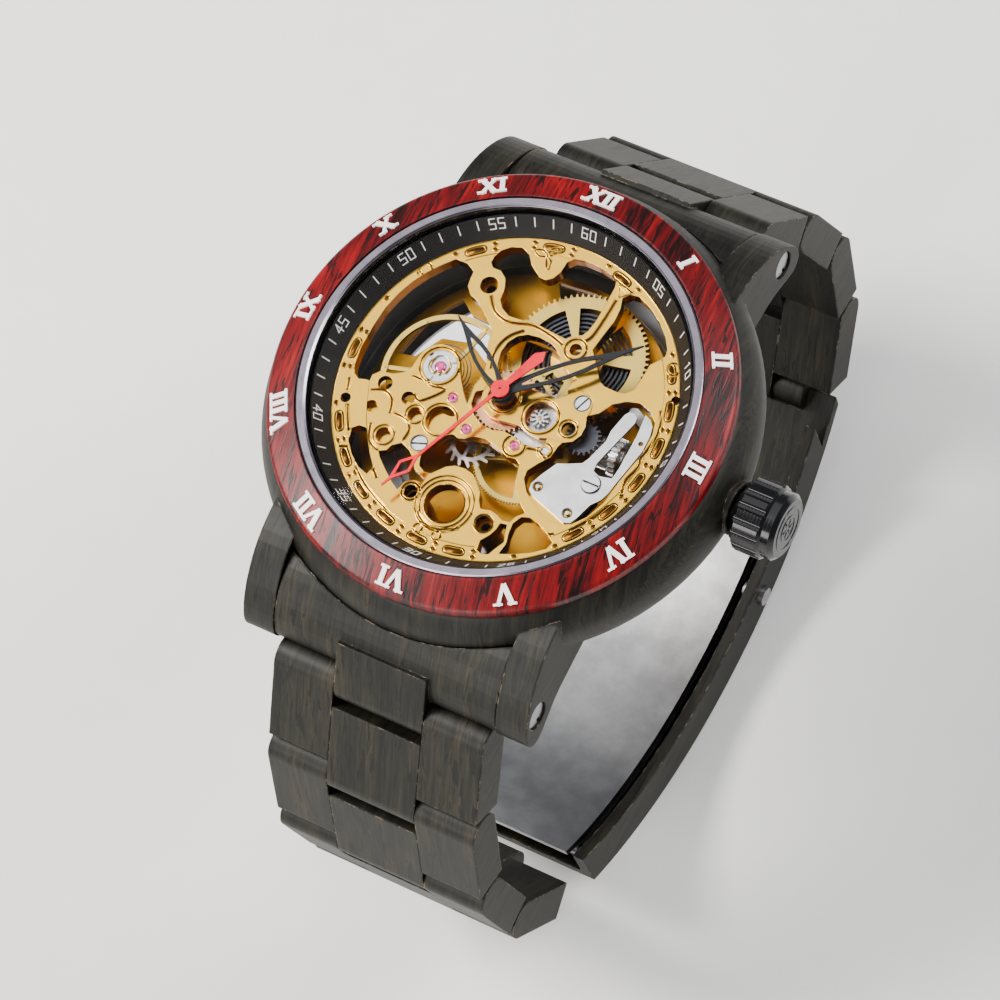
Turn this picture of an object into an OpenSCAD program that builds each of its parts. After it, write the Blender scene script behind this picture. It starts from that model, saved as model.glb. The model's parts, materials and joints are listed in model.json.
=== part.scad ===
// Skeleton automatic wristwatch on a three-row bracelet.
// Origin: centre of the case back's outer face. +Z leaves the dial, +Y is 12 o'clock, +X is the crown.

/* [Case] */
// Largest diameter of the case body
case_d = 43.6; // [42:0.2:46]
// Outside diameter of the bezel
bezel_d = 40.8; // [40:0.2:41]
// Height of the bezel's inner edge over the case back
bezel_top = 11.1; // [11:0.1:11.6]
// Clear gap between two lugs
lug_gap = 22; // [21.6:0.2:22]
// Width of one lug
lug_w = 3; // [2.6:0.2:3.2]

/* [Crown] */
// Diameter of the crown
crown_d = 6.6; // [6:0.2:7]
// Length of the crown
crown_len = 4.4; // [4:0.2:5]
// Number of flutes round the crown
crown_flutes = 16; // [12:1:20]

/* [Movement] */
// Height of the main plate's top face
plate_top = 8.3; // [8.2:0.05:8.4]
// Teeth on the going barrel
barrel_teeth = 76; // [76]
// Leaves on the centre pinion
centre_leaves = 12; // [12]

/* [Bracelet] */
// Distance between two link pins
pitch = 10; // [9.5:0.1:10.5]
// Thickness of a link
link_t = 3.6; // [3.2:0.1:3.8]
// Whole width of the bracelet
band_w = 20.8; // [20:0.2:21]
// Width of the centre row
centre_w = 8.8; // [8:0.2:9.4]

/* [Hidden] */
$fn = 64;
eps = 0.02;
gap = 0.06;

// --- places of the movement's arbors, seen from the dial ---
barrel_at = [3.2, 6.3];
third_at = [2.9, -3.55];
escape_at = [-1.65, -3.85];
pallet_at = [-4.12, -1.73];
balance_at = [-6.6, 0.4];
minute_at = [3.5, -0.33];
crown_wheel_at = [8.9, 2.9];

// --- gears: module from the centre distance and the tooth counts ---
centre_teeth = 75;
third_leaves = 12;
third_teeth = 96;
seconds_leaves = 10;
fourth_teeth = 72;
escape_leaves = 12;
minute_teeth = 36;
cannon_leaves = 12;
minute_leaves = 10;
hour_teeth = 40;
setting_teeth = 20;
ratchet_teeth = 40;
crown_wheel_teeth = 31;
m_barrel = 2 * norm(barrel_at) / (barrel_teeth + centre_leaves);
m_centre = 2 * norm(third_at) / (centre_teeth + third_leaves);
m_third = 2 * norm(third_at) / (third_teeth + seconds_leaves);
m_fourth = 2 * norm(escape_at) / (fourth_teeth + escape_leaves);
m_minute = 2 * norm(minute_at) / (minute_teeth + cannon_leaves);
m_hour = 2 * norm(minute_at) / (hour_teeth + minute_leaves);
m_ratchet = 2 * norm(crown_wheel_at - barrel_at) / (ratchet_teeth + crown_wheel_teeth);
setting_at = [minute_at[0] + m_minute * (minute_teeth + setting_teeth) / 2, minute_at[1]];

// --- levels ---
plate_bottom = plate_top - 1.2;
bridge_t = 0.55;
balance_bridge_t = 0.8;
stem_z = 4.8;
hour_z = 9.2;
minute_z = 9.6;
second_z = 10.0;
case_r = case_d / 2;
bezel_r = bezel_d / 2;
bore_r = 15.55;

// --- hand angles, clockwise from 12 ---
hour_angle = 305;
minute_angle = 48;
second_angle = 203.6;

// --- bracelet: each side is a chain of pins that hangs from its end link ---
first_pin = [25.4, -1.6];
link_angles = [57, 74, 98, 124];
function pin_at(k) = k == 0 ? first_pin
  : pin_at(k - 1) + pitch * [cos(link_angles[k - 1]), -sin(link_angles[k - 1])];
pin_r = 0.6;

// ---------------------------------------------------------------- helpers
module at(p, z) {
  translate([p[0], p[1], z]) children();
}

module sided(side) {
  if (side < 0) mirror([0, 1, 0]) children();
  else children();
}

module plate(z0, z1) {
  translate([0, 0, z0]) linear_extrude(z1 - z0) children();
}

// A gear of any tooth count, with a bore: trapezoid teeth on a round blank.
function gear_points(n, m) = [
  for (i = [0 : n - 1])
    each [for (k = [[-0.27, -1.1], [-0.13, 0.85], [0.13, 0.85], [0.27, -1.1]])
      let (a = 360 * (i + k[0]) / n, r = m * (n / 2 + k[1])) [r * cos(a), r * sin(a)]]
];

module gear(n, m, t, bore, turn = 0) {
  linear_extrude(t) difference() {
    rotate(turn) polygon(gear_points(n, m));
    circle(bore);
  }
}

// The turn that puts a tooth gap of the second gear on the line to the first one's tooth.
function mesh_turn(a, b, na, nb, ta) =
  let (dir = atan2(b[1] - a[1], b[0] - a[0]), phase = (dir - ta) * na / 360)
  dir + 180 - (0.5 - phase) * 360 / nb;

module spokes(n, r0, r1, w) {
  for (i = [0 : n - 1]) rotate(360 * i / n) translate([r0, -w / 2]) square([r1 - r0, w]);
}

// A spoked wheel rim: gear teeth outside, arms inside.
module wheel(n, m, t, rim, arms, arm_w, hub, bore, turn = 0) {
  r_in = m * n / 2 - 1.1 * m - rim;
  linear_extrude(t) difference() {
    rotate(turn) polygon(gear_points(n, m));
    difference() {
      circle(r_in);
      circle(hub);
      rotate(20) spokes(arms, 0, r_in + 0.1, arm_w);
    }
    circle(bore);
  }
}

// A rounded line through the given points, with n short steps from each point to the next.
function through(p, n = 3) = concat(
  [for (i = [0 : len(p) - 2], k = [0 : n - 1])
    let (a = p[max(i - 1, 0)], b = p[i], c = p[i + 1], d = p[min(i + 2, len(p) - 1)], t = k / n)
    0.5 * (2 * b + (c - a) * t + (2 * a - 5 * b + 4 * c - d) * t * t + (3 * b - a - 3 * c + d) * t * t * t)],
  [p[len(p) - 1]]);

module ring(r_out, r_in, h) {
  difference() {
    cylinder(r = r_out, h = h);
    translate([0, 0, -1]) cylinder(r = r_in, h = h + 2);
  }
}

module round_slot(a, b, r) {
  d = b - a;
  translate(a) rotate(atan2(d[1], d[0])) {
    translate([0, -r]) square([norm(d), 2 * r]);
    circle(r);
    translate([norm(d), 0]) circle(r);
  }
}

// ---------------------------------------------------------------- case
module lug_profile() {
  polygon(through([[13, 7.6], [16.5, 7.7], [19.5, 6.9], [22, 5.3], [23.8, 3.4], [24.8, 1.6], [24.95, 0.4],
    [24.5, -0.5], [23.4, -0.8], [21.5, -0.1], [19, 0.6], [13, 1.0]]));
}

module lug(side_x, side_y) {
  sided(side_y) difference() {
    translate([side_x > 0 ? lug_gap / 2 : -lug_gap / 2 - lug_w, 0, 0])
      rotate([90, 0, 90]) linear_extrude(lug_w) lug_profile();
    translate([-30, bar_at[0], bar_at[1]]) rotate([0, 90, 0]) cylinder(r = bar_r + gap, h = 60);
    translate([side_x > 0 ? lug_gap / 2 + lug_w - 0.7 : -lug_gap / 2 - lug_w - 1, bar_at[0], bar_at[1]])
      rotate([0, 90, 0]) cylinder(r = bar_head_r + 0.1, h = 1.7);
  }
}
bar_at = [22.6, 2.0];
bar_r = 0.75;
bar_head_r = 1.2;

module case_body() color([0.11, 0.10, 0.09]) {
  difference() {
    union() {
      rotate_extrude() polygon(concat([[14, 8.95], [14, 1.0]],
        through([[18.9, 1.0], [20.3, 1.6], [21.2, 2.8], [21.65, 4.0], [case_r, 5.1], [21.7, 6.3],
          [21.3, 7.3], [20.8, 8.1], [20.3, 8.7], [19.8, 8.95]])));
      for (sx = [-1, 1]) for (sy = [-1, 1]) intersection() {
        lug(sx, sy);
        translate([-16, -30, -3]) cube([32, 60, 12]);
      }
      translate([case_r - 1.2, 0, stem_z]) rotate([0, 90, 0]) cylinder(r = 2.4, h = 1.3);
    }
    translate([0, 0, -3]) cylinder(r = bore_r, h = 13);
    translate([0, 0, 8.05]) cylinder(r = 17.1, h = 2);
    translate([0, 0, -3]) cylinder(r = 18.05, h = 4.9);
    translate([12, 0, stem_z]) rotate([0, 90, 0]) cylinder(r = 0.85, h = 12);
    translate([case_r - 0.9, 0, stem_z]) rotate([0, 90, 0]) ring(2.05, 1.4, 3);
  }
}

module bezel() color([0.70, 0.16, 0.13]) rotate_extrude() polygon([[17.62, 9.0], [17.62, bezel_top],
  [bezel_r - 0.25, 10.1], [bezel_r - 0.05, 9.9], [bezel_r, 9.5], [bezel_r, 9.15], [bezel_r - 0.15, 9.0]]);

// Applied Roman numerals, radial, tops outward, on the bezel's cone.
numeral_r = 19;
bar_w = 0.42;
num_h = 1.75;
module stroke(a, b, w = bar_w) {
  d = b - a;
  translate(a) rotate(atan2(d[1], d[0])) translate([-0.02, -w / 2]) square([norm(d) + 0.04, w]);
}
module serif(x, y) {
  translate([x - 0.4, y - 0.11]) square([0.8, 0.22]);
}
module glyph_i(x) {
  stroke([x, -num_h / 2], [x, num_h / 2]);
  for (y = [-1, 1]) serif(x, y * (num_h / 2 - 0.1));
}
module glyph_v(x) {
  stroke([x - 0.62, num_h / 2], [x, -num_h / 2], 0.46);
  stroke([x + 0.62, num_h / 2], [x, -num_h / 2], 0.3);
  for (s = [-1, 1]) serif(x + s * 0.62, num_h / 2 - 0.1);
}
module glyph_x(x) {
  stroke([x - 0.58, num_h / 2], [x + 0.58, -num_h / 2], 0.46);
  stroke([x + 0.58, num_h / 2], [x - 0.58, -num_h / 2], 0.3);
  for (s = [-1, 1]) for (y = [-1, 1]) serif(x + s * 0.58, y * (num_h / 2 - 0.1));
}
// Each hour: a list of [letter, offset]; letters 0 = I, 1 = V, 2 = X.
hour_glyphs = [
  [[2, -0.8], [0, 0.35], [0, 1.05]], [[0, 0]], [[0, -0.36], [0, 0.36]], [[0, -0.72], [0, 0], [0, 0.72]],
  [[0, -0.85], [1, 0.35]], [[1, 0]], [[1, -0.35], [0, 0.85]], [[1, -0.7], [0, 0.45], [0, 1.15]],
  [[1, -1.0], [0, 0.12], [0, 0.8], [0, 1.48]], [[0, -0.8], [2, 0.4]], [[2, 0]], [[2, -0.4], [0, 0.8]]
];
cone_tilt = atan2(1.0, 2.5);
module bezel_numerals() color([0.95, 0.94, 0.92]) for (h = [0 : 11]) rotate(-30 * h)
  translate([0, numeral_r, 10.5]) rotate([-cone_tilt, 0, 0]) linear_extrude(0.2)
    for (g = hour_glyphs[h]) {
      if (g[0] == 0) glyph_i(g[1]);
      if (g[0] == 1) glyph_v(g[1]);
      if (g[0] == 2) glyph_x(g[1]);
    }

module crystal() color([0.9, 0.95, 1.0, 0.2]) rotate_extrude() polygon([[0, 10.75], [0, 11.75], [8, 11.65],
  [13, 11.35], [16.6, 10.9], [16.6, 10.3], [15.9, 10.3], [12, 10.5], [7, 10.7]]);

module crystal_ring() color([0.66, 0.62, 0.68]) {
  rotate_extrude() polygon([[16.65, 9.0], [16.65, 11.0], [16.85, 11.15], [17.4, 11.15], [17.58, 11.0], [17.58, 9.0]]);
}

module chapter_ring() color([0.05, 0.05, 0.05]) rotate_extrude() polygon([[15.1, plate_top + 0.02],
  [16.35, 10.2], [16.6, 9.85], [16.6, 8.98], [17.05, 8.98], [17.05, 8.1], [15.7, 8.1], [15.7, plate_top + 0.02]]);

module case_back() color([0.62, 0.62, 0.63]) difference() {
  rotate_extrude() polygon([[13.2, 0.0], [17.2, 0.0], [18.0, 0.7], [18.0, 1.85], [15.9, 1.85], [15.9, 1.2],
    [14.2, 1.2], [14.2, 0.45], [13.2, 0.45]]);
  for (i = [0 : 5]) rotate(60 * i) translate([16.3, -0.8, -0.1]) cube([2, 1.6, 0.5]);
}

module back_glass() color([0.85, 0.9, 0.92, 0.25]) {
  cylinder(r = 13.15, h = 0.46);
  translate([0, 0, 0.45]) cylinder(r = 14.15, h = 0.72);
}

module lug_bars() color([0.75, 0.75, 0.76]) for (sy = [-1, 1])
  translate([-lug_gap / 2 - lug_w + 0.2, sy * bar_at[0], bar_at[1]]) rotate([0, 90, 0]) {
    cylinder(r = bar_r, h = lug_gap + 2 * lug_w - 0.4);
    for (e = [0, 1]) translate([0, 0, e * (lug_gap + 2 * lug_w - 0.9)]) difference() {
      cylinder(r = bar_head_r, h = 0.5);
      translate([-2, -0.17, e == 1 ? 0.22 : -1]) cube([4, 0.34, 1.28]);
    }
  }

// ---------------------------------------------------------------- winding and setting
module along_stem(x) {
  translate([x, 0, stem_z]) rotate([0, 90, 0]) children();
}

crown_x = case_r + 0.35;
module crown() color([0.05, 0.05, 0.055]) along_stem(crown_x) difference() {
  union() {
    cylinder(r = 1.95, h = 0.6);
    translate([0, 0, 0.3]) rotate_extrude() polygon([[0, 0], [crown_d / 2 - 0.5, 0], [crown_d / 2, 0.5],
      [crown_d / 2, 2.7], [crown_d / 2 - 0.3, 3.0], [crown_d / 2 - 0.3, 3.7], [crown_d / 2 - 0.7, crown_len - 0.3],
      [0, crown_len - 0.3]]);
  }
  translate([0, 0, -1]) cylinder(r = 1.5, h = 1.6);
  for (i = [0 : crown_flutes - 1]) rotate(360 * (i + 0.5) / crown_flutes)
    translate([crown_d / 2 + 0.16, 0, 0.2]) cylinder(r = 0.4, h = 2.9);
}

module stem() color([0.7, 0.7, 0.72]) {
  along_stem(16.5) cylinder(r = 0.8, h = crown_x - 16.5 + 0.6);
  along_stem(7.9) cylinder(r = 0.45, h = 8.6 + eps);
}

module setting_lever() color([0.72, 0.72, 0.72]) translate([13.2, 0, 0]) difference() {
  plate(stem_z + 0.6, stem_z + 1.0) round_slot([0, 0], [-0.4, -3.4], 0.7);
  translate([0, 0, stem_z]) cylinder(r = 0.3, h = 4);
}

module yoke() color([0.72, 0.72, 0.72]) translate([0, 0, stem_z - 0.3]) {
  linear_extrude(0.6) {
    translate([11.0, 0.86]) square([0.3, 2.6]);
    round_slot([11.15, 3.5], [9.7, 4.2], 0.45);
  }
}

sliding_x = 9.95;
module sliding_pinion() color([0.72, 0.72, 0.73]) along_stem(sliding_x) difference() {
  union() {
    gear(20, 0.155, 0.7, 0.48);
    translate([0, 0, 0.7]) ring(1.0, 0.48, 0.3);
    translate([0, 0, 1.0]) ring(0.8, 0.48, 0.4);
    translate([0, 0, 1.4]) ring(1.1, 0.48, 0.5);
  }
}

module winding_pinion() color([0.70, 0.70, 0.72]) along_stem(8.7) gear(18, 0.14, 1.0, 0.48);

module crown_wheel() color([0.75, 0.75, 0.76]) at(crown_wheel_at, 2.9)
  gear(crown_wheel_teeth, m_ratchet, 0.35, 0.6);

module ratchet_wheel() color([0.75, 0.75, 0.76]) at(barrel_at, 2.9)
  gear(ratchet_teeth, m_ratchet, 0.35, 0.45,
    mesh_turn(crown_wheel_at, barrel_at, crown_wheel_teeth, ratchet_teeth, 0));

// ---------------------------------------------------------------- plates
// Openings of the main plate, seen from the dial, each an outline in millimetres.
barrel_window = [[-7.2, 11.3], [-6.9, 12.1], [-6.2, 12.75], [-5.3, 13.05], [-4.5, 12.75], [-3.9, 12.0],
  [-3.2, 11.5], [-2.6, 11.15], [-2.0, 11.1], [-1.45, 11.5], [-1.1, 12.3], [-1.05, 13.3], [-0.6, 13.85],
  [0.3, 14.05], [1.8, 14.0], [3.2, 13.75], [3.75, 13.4], [3.9, 12.8], [3.95, 11], [3.9, 9.5], [3.7, 8.3],
  [3.3, 7.5], [2.6, 7.2], [2.3, 6.9], [1, 7.0], [-0.5, 7.15], [-2, 7.0], [-3.3, 6.9], [-4.2, 7.3],
  [-4.8, 8.0], [-4.9, 9.0], [-5.3, 9.9], [-6, 10.4], [-6.8, 10.4], [-7.2, 10.8]];
right_window = [[5.0, 12.2], [5.5, 12.75], [6.3, 12.85], [7.6, 12.3], [9.0, 11.4], [10.1, 10.4], [10.8, 9.4],
  [10.95, 8.8], [10.6, 8.2], [10.1, 7.6], [10.05, 6.2], [9.95, 5.0], [9.4, 4.4], [8.6, 4.25], [7.4, 4.3],
  [6.8, 4.6], [6.2, 5.4], [5.6, 6.1], [4.9, 6.9], [5.1, 8.3], [5.35, 9.8], [5.3, 11.2]];
round_window = [[-1.7, 1.9], [-2.1, 2.6], [-2.35, 3.6], [-2.2, 4.7], [-1.7, 5.5], [-0.9, 6.0], [0.2, 6.15],
  [1.4, 6.0], [2.2, 5.6], [2.9, 4.95], [3.6, 4.4], [4.5, 4.1], [5.0, 3.95], [4.7, 3.4], [4.6, 2.9],
  [4.95, 2.3], [5.0, 1.5], [2, 1.0], [0, 1.0]];
balance_window = [[-8.2, 9.4], [-9.0, 9.85], [-10.2, 9.85], [-11.2, 8.75], [-12.0, 7.7], [-12.75, 6.4],
  [-13.3, 5.0], [-13.7, 3.4], [-13.85, 1.5], [-13.85, -0.8], [-13.6, -2.3], [-13.2, -3.1], [-12.6, -3.4],
  [-12.0, -3.2], [-11, -3.2], [-6, -3.4], [-3.4, -1.9], [-2.75, -1.2], [-2.95, 0], [-2.7, 1.3], [-3.1, 2.4],
  [-3.6, 3.4], [-3.85, 4.3], [-3.9, 5.0], [-4.6, 5.6], [-5.6, 6.4], [-6.4, 7.0], [-7.4, 7.35], [-8.0, 8.0],
  [-8.15, 8.7]];
escape_window = [[-3.6, -4.6], [-1.9, -4.6], [-1.3, -4.4], [-0.7, -4.2], [0.3, -4.0], [1.4, -4.25],
  [2.2, -4.55], [2.9, -4.75], [3.6, -4.6], [4.1, -4.9], [4.45, -5.9], [5.0, -7.1], [5.8, -8.0], [6.7, -8.65],
  [6.1, -9.3], [5.9, -9.9], [5.2, -10.0], [4.6, -9.75], [3.9, -9.6], [3.0, -9.8], [2.5, -9.2], [2.2, -8.5],
  [1.5, -7.8], [0.9, -7.3], [0, -7.1], [-0.9, -7.2], [-1.6, -7.6], [-2.1, -8.2], [-2.5, -8.65], [-3.1, -8.75],
  [-3.8, -8.4], [-4.1, -7.6], [-3.8, -6.6], [-3.7, -5.6]];
lower_left_window = [[-7.1, -7.9], [-6.2, -7.2], [-5.3, -7.5], [-4.6, -8.1], [-4.0, -8.9], [-3.2, -9.2],
  [-2.75, -9.3], [-2.75, -9.7], [-3.5, -9.75], [-4.2, -10.2], [-4.45, -11.1], [-5.2, -10.7], [-6.3, -9.9],
  [-7.3, -9.1], [-7.7, -8.6]];
crescent_window = [[-10.9, -7.7], [-10.4, -7.2], [-9.7, -7.15], [-9.2, -7.9], [-8.3, -9.1], [-7.4, -10.1],
  [-7.6, -10.9], [-8.6, -10.6], [-9.7, -9.8], [-10.6, -8.8]];
s_window_left = [[5.2, -10.3], [5.8, -10.2], [6.0, -10.9], [6.3, -11.7], [5.9, -12.5], [5.6, -13.2], [5.0, -13.4],
  [4.5, -13.2], [4.35, -12.4], [4.9, -11.6], [5.15, -10.9]];
s_window_right = [[6.2, -9.9], [6.6, -9.1], [7.3, -8.85], [8.2, -9.05], [9.2, -9.5], [10.1, -10.1],
  [9.9, -10.8], [8.9, -11.6], [7.6, -12.3], [6.4, -12.8], [6.55, -11.8], [6.3, -10.9]];
setting_window = [[7.4, 1.3], [8.2, 1.9], [8.9, 3.1], [9.9, 3.8], [11, 4.1], [12.2, 3.7], [13.0, 3.0],
  [13.3, 2], [13.35, 0], [13.0, -1.5], [12.7, -3], [12.6, -4], [12.4, -5.2], [11.7, -6.9], [10.8, -8.0],
  [10, -8.35], [9, -8.4], [8, -8.2], [6.8, -7.5], [5.9, -6.9], [5.1, -5.9], [5.0, -5.2], [5.6, -4.2],
  [6.3, -3.3], [6.4, -2.2], [6.6, -1.7], [7.3, -0.5]];
teeth_window = [[-2.6, -0.5], [-2.4, -1.6], [-1.6, -2.5], [-0.6, -2.95], [0.5, -3.05], [1.4, -2.75],
  [2.4, -2.85], [3.4, -3.15], [4.6, -3.05], [5.3, -2.5], [5.0, -1.2], [3, 0], [0, 0], [-1.5, 0.3]];
ring_at = [-0.05, -10.65];

balance_bridge_outline = [[-8.8, 0.2], [-8.65, 1.1], [-8.2, 1.85], [-7.5, 2.3], [-6.8, 2.4], [-6.0, 2.2],
  [-5.3, 1.6], [-4.85, 0.8], [-4.3, 0], [-3.4, -1.1], [-2.9, -1.65], [-2.3, -2.05], [-1.9, -2.4], [-1.1, -2.85],
  [-0.6, -3.3], [-0.7, -4.2], [-1.3, -4.7], [-1.9, -4.9], [-2.5, -4.75], [-3.0, -5.1], [-3.5, -5.8],
  [-3.85, -6.5], [-4.1, -7.1], [-4.6, -7.5], [-5.3, -7.4], [-6.2, -7.15], [-6.9, -7.7], [-7.1, -8.3], [-7.7, -8.65],
  [-8.5, -8.65], [-9.1, -8.0], [-9.8, -7.0], [-10.4, -6.0], [-11.1, -4.5], [-11.65, -3.2], [-11.7, -2.6],
  [-11.2, -2.05], [-10.0, -1.8], [-9.2, -1.3], [-8.85, -0.6]];
centre_bridge_outline = [[-1.95, 0.5], [-1.6, 1.2], [-0.9, 1.75], [0, 1.95], [1.1, 1.75], [2.0, 1.6], [3.2, 1.7],
  [4.3, 1.75], [4.95, 2.4], [5.2, 3.0], [5.9, 3.2], [6.7, 3.05], [7.3, 2.5], [7.5, 1.7], [7.45, 1.1], [7.75, 0.4],
  [7.8, -0.5], [7.4, -1.3], [6.6, -1.75], [5.5, -1.8], [4.5, -2.15], [3.5, -2.1], [2.5, -1.8], [1.5, -1.9],
  [0.5, -2.05], [-0.5, -2.0], [-1.2, -1.7], [-1.75, -1.1], [-2.0, -0.3]];
cover_outline = [[10.25, 2.7], [10.5, 3.05], [10.95, 3.1], [11.35, 2.8], [11.4, 2.3], [11.2, 1.6], [10.8, 0.2],
  [10.4, -1.2], [10.15, -2.2], [10.2, -2.9], [10.8, -3.15], [11.4, -3.05], [12.0, -2.9], [12.1, -1.8],
  [12.1, 1.4], [11.9, 3.35], [12.5, 3.1], [12.95, 2.6], [13.15, 1.8], [13.2, 0.3], [12.9, -1.2], [12.55, -2.9],
  [12.3, -4.3], [12.05, -5.0], [11.4, -5.8], [10.95, -7.2], [10.6, -7.9], [10.0, -8.1], [6.4, -6.95],
  [5.95, -6.6], [5.85, -6.0], [6.3, -4.9], [7.0, -3.55], [8.0, -3.15], [9.0, -2.65], [9.3, -2.1], [9.6, -1.1],
  [9.9, -0.1], [9.85, 0.9], [10.0, 1.6]];

// Bosses of the main plate: [place, outer radius, hole radius]
bosses = [[[-6.3, 8.8], 1.55, 0.8], [[3.55, 6.35], 1.05, 0.55], [[3.9, -10.9], 1.3, 0.72],
  [[-3.3, -10.8], 1.15, 0.6]];

module main_outline() {
  difference() {
    circle(r = 15.05, $fn = 128);
    polygon(barrel_window);
    polygon(right_window);
    polygon(round_window);
    polygon(balance_window);
    polygon(escape_window);
    polygon(lower_left_window);
    polygon(crescent_window);
    polygon(s_window_left);
    polygon(s_window_right);
    polygon(setting_window);
    polygon(teeth_window);
    translate(ring_at) circle(1.75);
    for (b = bosses) translate(b[0]) circle(b[2]);
    translate([-12.8, -5.4]) circle(0.45);
    translate([13.7, 5.5]) circle(0.4);
    translate([5.55, -2.95]) circle(0.36);
  }
}

// Room for the motion work under the centre bridge.
module motion_room() {
  circle(3.15);
  translate(minute_at) circle(2.95);
  translate(setting_at) circle(1.75);
  stroke([minute_at[0], minute_at[1]], setting_at, 3);
}

module main_plate() color([0.93, 0.76, 0.42]) {
  plate(plate_bottom, 8.05) difference() {
    circle(r = 15.5, $fn = 128);
    circle(r = 15.04, $fn = 128);
  }
  difference() {
    plate(plate_bottom, plate_top) main_outline();
    plate(plate_bottom - 1, plate_top - bridge_t) motion_room();
    plate(plate_top - bridge_t, plate_top + 1) polygon(centre_bridge_outline);
    plate(plate_top - balance_bridge_t, plate_top + 1) polygon(balance_bridge_outline);
    at(third_at, plate_bottom - 1) cylinder(r = 0.42, h = 3);
    for (p = plate_screw_at) at(p, plate_bottom - 1) cylinder(r = 0.32, h = 3);
    at(pallet_at, plate_bottom - 1) cylinder(r = 1.4, h = 3);
    at(escape_at, plate_bottom - 1) cylinder(r = 0.6, h = 3);
    for (p = cover_pins) at(p, plate_bottom - 1) cylinder(r = 0.2, h = 3);
  }
  plate(plate_bottom, plate_top - 0.37) difference() {
    polygon([[6.3, -6.8], [7.1, -3.7], [9.0, -3.0], [11.2, -4.0], [11.6, -5.2], [10.6, -8.2], [9.0, -8.5],
      [7.6, -8.1], [6.2, -7.1]]);
    translate(cover_screw) circle(0.32);
    for (p = cover_pins) translate(p) circle(0.2);
  }
}
plate_screw_at = [[6.45, 2.15], [-4.8, -6.6]];
cover_screw = [10.6, -4.1];
cover_pins = [[6.5, -6.05], [9.95, -7.2]];

module balance_bridge() color([0.93, 0.76, 0.42]) difference() {
  plate(plate_top - balance_bridge_t + gap, plate_top) difference() {
    polygon([for (p = balance_bridge_outline) p * 0.997]);
    translate(balance_at) circle(1.5);
    translate([-4.15, -4.0]) circle(1.3);
    translate([-10.25, -2.85]) circle(0.65);
    translate([-7.7, -3.3]) circle(0.6);
    translate([-6.4, -4.4]) circle(0.68);
    translate([-10.3, -5.2]) circle(0.55);
    translate([-8.0, -7.15]) circle(0.72);
    translate([-4.8, -6.6]) circle(0.32);
    translate(pallet_at) circle(0.45);
    translate(escape_at) circle(0.45);
  }
  at([-4.8, -6.6], plate_top - 0.35) cylinder(r = 0.75, h = 1);
}

module centre_bridge() color([0.93, 0.76, 0.42]) difference() {
  plate(plate_top - bridge_t + gap, plate_top) difference() {
    polygon([for (p = centre_bridge_outline) p * 0.992]);
    circle(1.15);
    intersection() {
      translate(minute_at + [0.2, 0]) circle(1.38);
      translate([2.3, -2]) square([4, 4]);
    }
    translate([6.45, -0.4]) circle(0.62);
    translate([6.45, 2.15]) circle(0.32);
  }
  at([6.45, 2.15], plate_top - 0.3) cylinder(r = 0.72, h = 1);
}

module cover_plate() color([0.80, 0.79, 0.77]) difference() {
  plate(plate_top - 0.34, plate_top - 0.12) difference() {
    polygon(cover_outline);
    translate(cover_screw) circle(0.32);
    for (p = cover_pins) translate(p) circle(0.42);
    translate([12.75, 0.85]) circle(0.22);
  }
}

module lower_plate() color([0.90, 0.72, 0.38]) {
  at(crown_wheel_at, 2.85) cylinder(r = 0.55, h = 0.6);
  difference() {
    plate(3.35, 3.9) difference() {
      circle(r = 13.7, $fn = 128);
      polygon([[-12.5, 1.5], [-11.5, 5.5], [-9.7, 8.2], [-8.2, 7.2], [-5.6, 7.0], [-4.4, 7.6], [-3.6, 5.2], [-4.8, 3.6],
        [-7, 4.8], [-9.6, 4.2], [-11, 1.8]]);
      polygon([[-11.9, -1.5], [-11.6, -4.6], [-9.5, -8.6], [-6.6, -11.3], [-3.6, -12.6], [-3.3, -11],
        [-5.6, -8.9], [-8.2, -5.6], [-9.6, -2.4], [-10.6, -0.6]]);
      polygon([[-2.6, 12.9], [0.8, 13.2], [4, 12.7], [3.2, 11.6], [0.5, 11.9], [-1.6, 11.4]]);
      translate([7.6, -1.9]) square([4.2, 3.8]);
      translate(ring_at + [1.9, -0.4]) circle(1.9);
      translate([-0.4, 8.0]) circle(0.6);
      translate([-1.6, 6.0]) circle(0.7);
    }
    for (p = pivots) at(p, 3) cylinder(r = 0.2, h = 2);
    at(barrel_at, 3) cylinder(r = 0.62, h = 2);
  }
  for (p = pillars) at(p, 3.85) difference() {
    cylinder(r = 1.0, h = plate_bottom - 3.85);
    translate([0, 0, -1]) cylinder(r = 0.5, h = 5);
  }
}
pivots = [[0, 0], third_at, escape_at, pallet_at, balance_at];
pillars = [[-6.3, 8.8], [3.9, -10.9], [-3.3, -10.8], [-10.4, -5.5], [12.7, 5.2], [9.4, -7.6]];

jewel_at = [third_at, pallet_at, escape_at];
module jewels() color([0.78, 0.25, 0.45]) for (i = [0 : 2]) at(jewel_at[i], plate_top - 0.45) difference() {
  cylinder(r = i == 0 ? 0.42 : 0.45, h = 0.4);
  translate([0, 0, -1]) cylinder(r = 0.09, h = 3);
}

module slotted_screw(r, head, shank, depth) {
  difference() {
    cylinder(r = r, h = head);
    translate([-r - 1, -0.09, head - 0.14]) cube([2 * r + 2, 0.18, 1]);
  }
  translate([0, 0, -depth]) cylinder(r = shank, h = depth);
}

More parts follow.
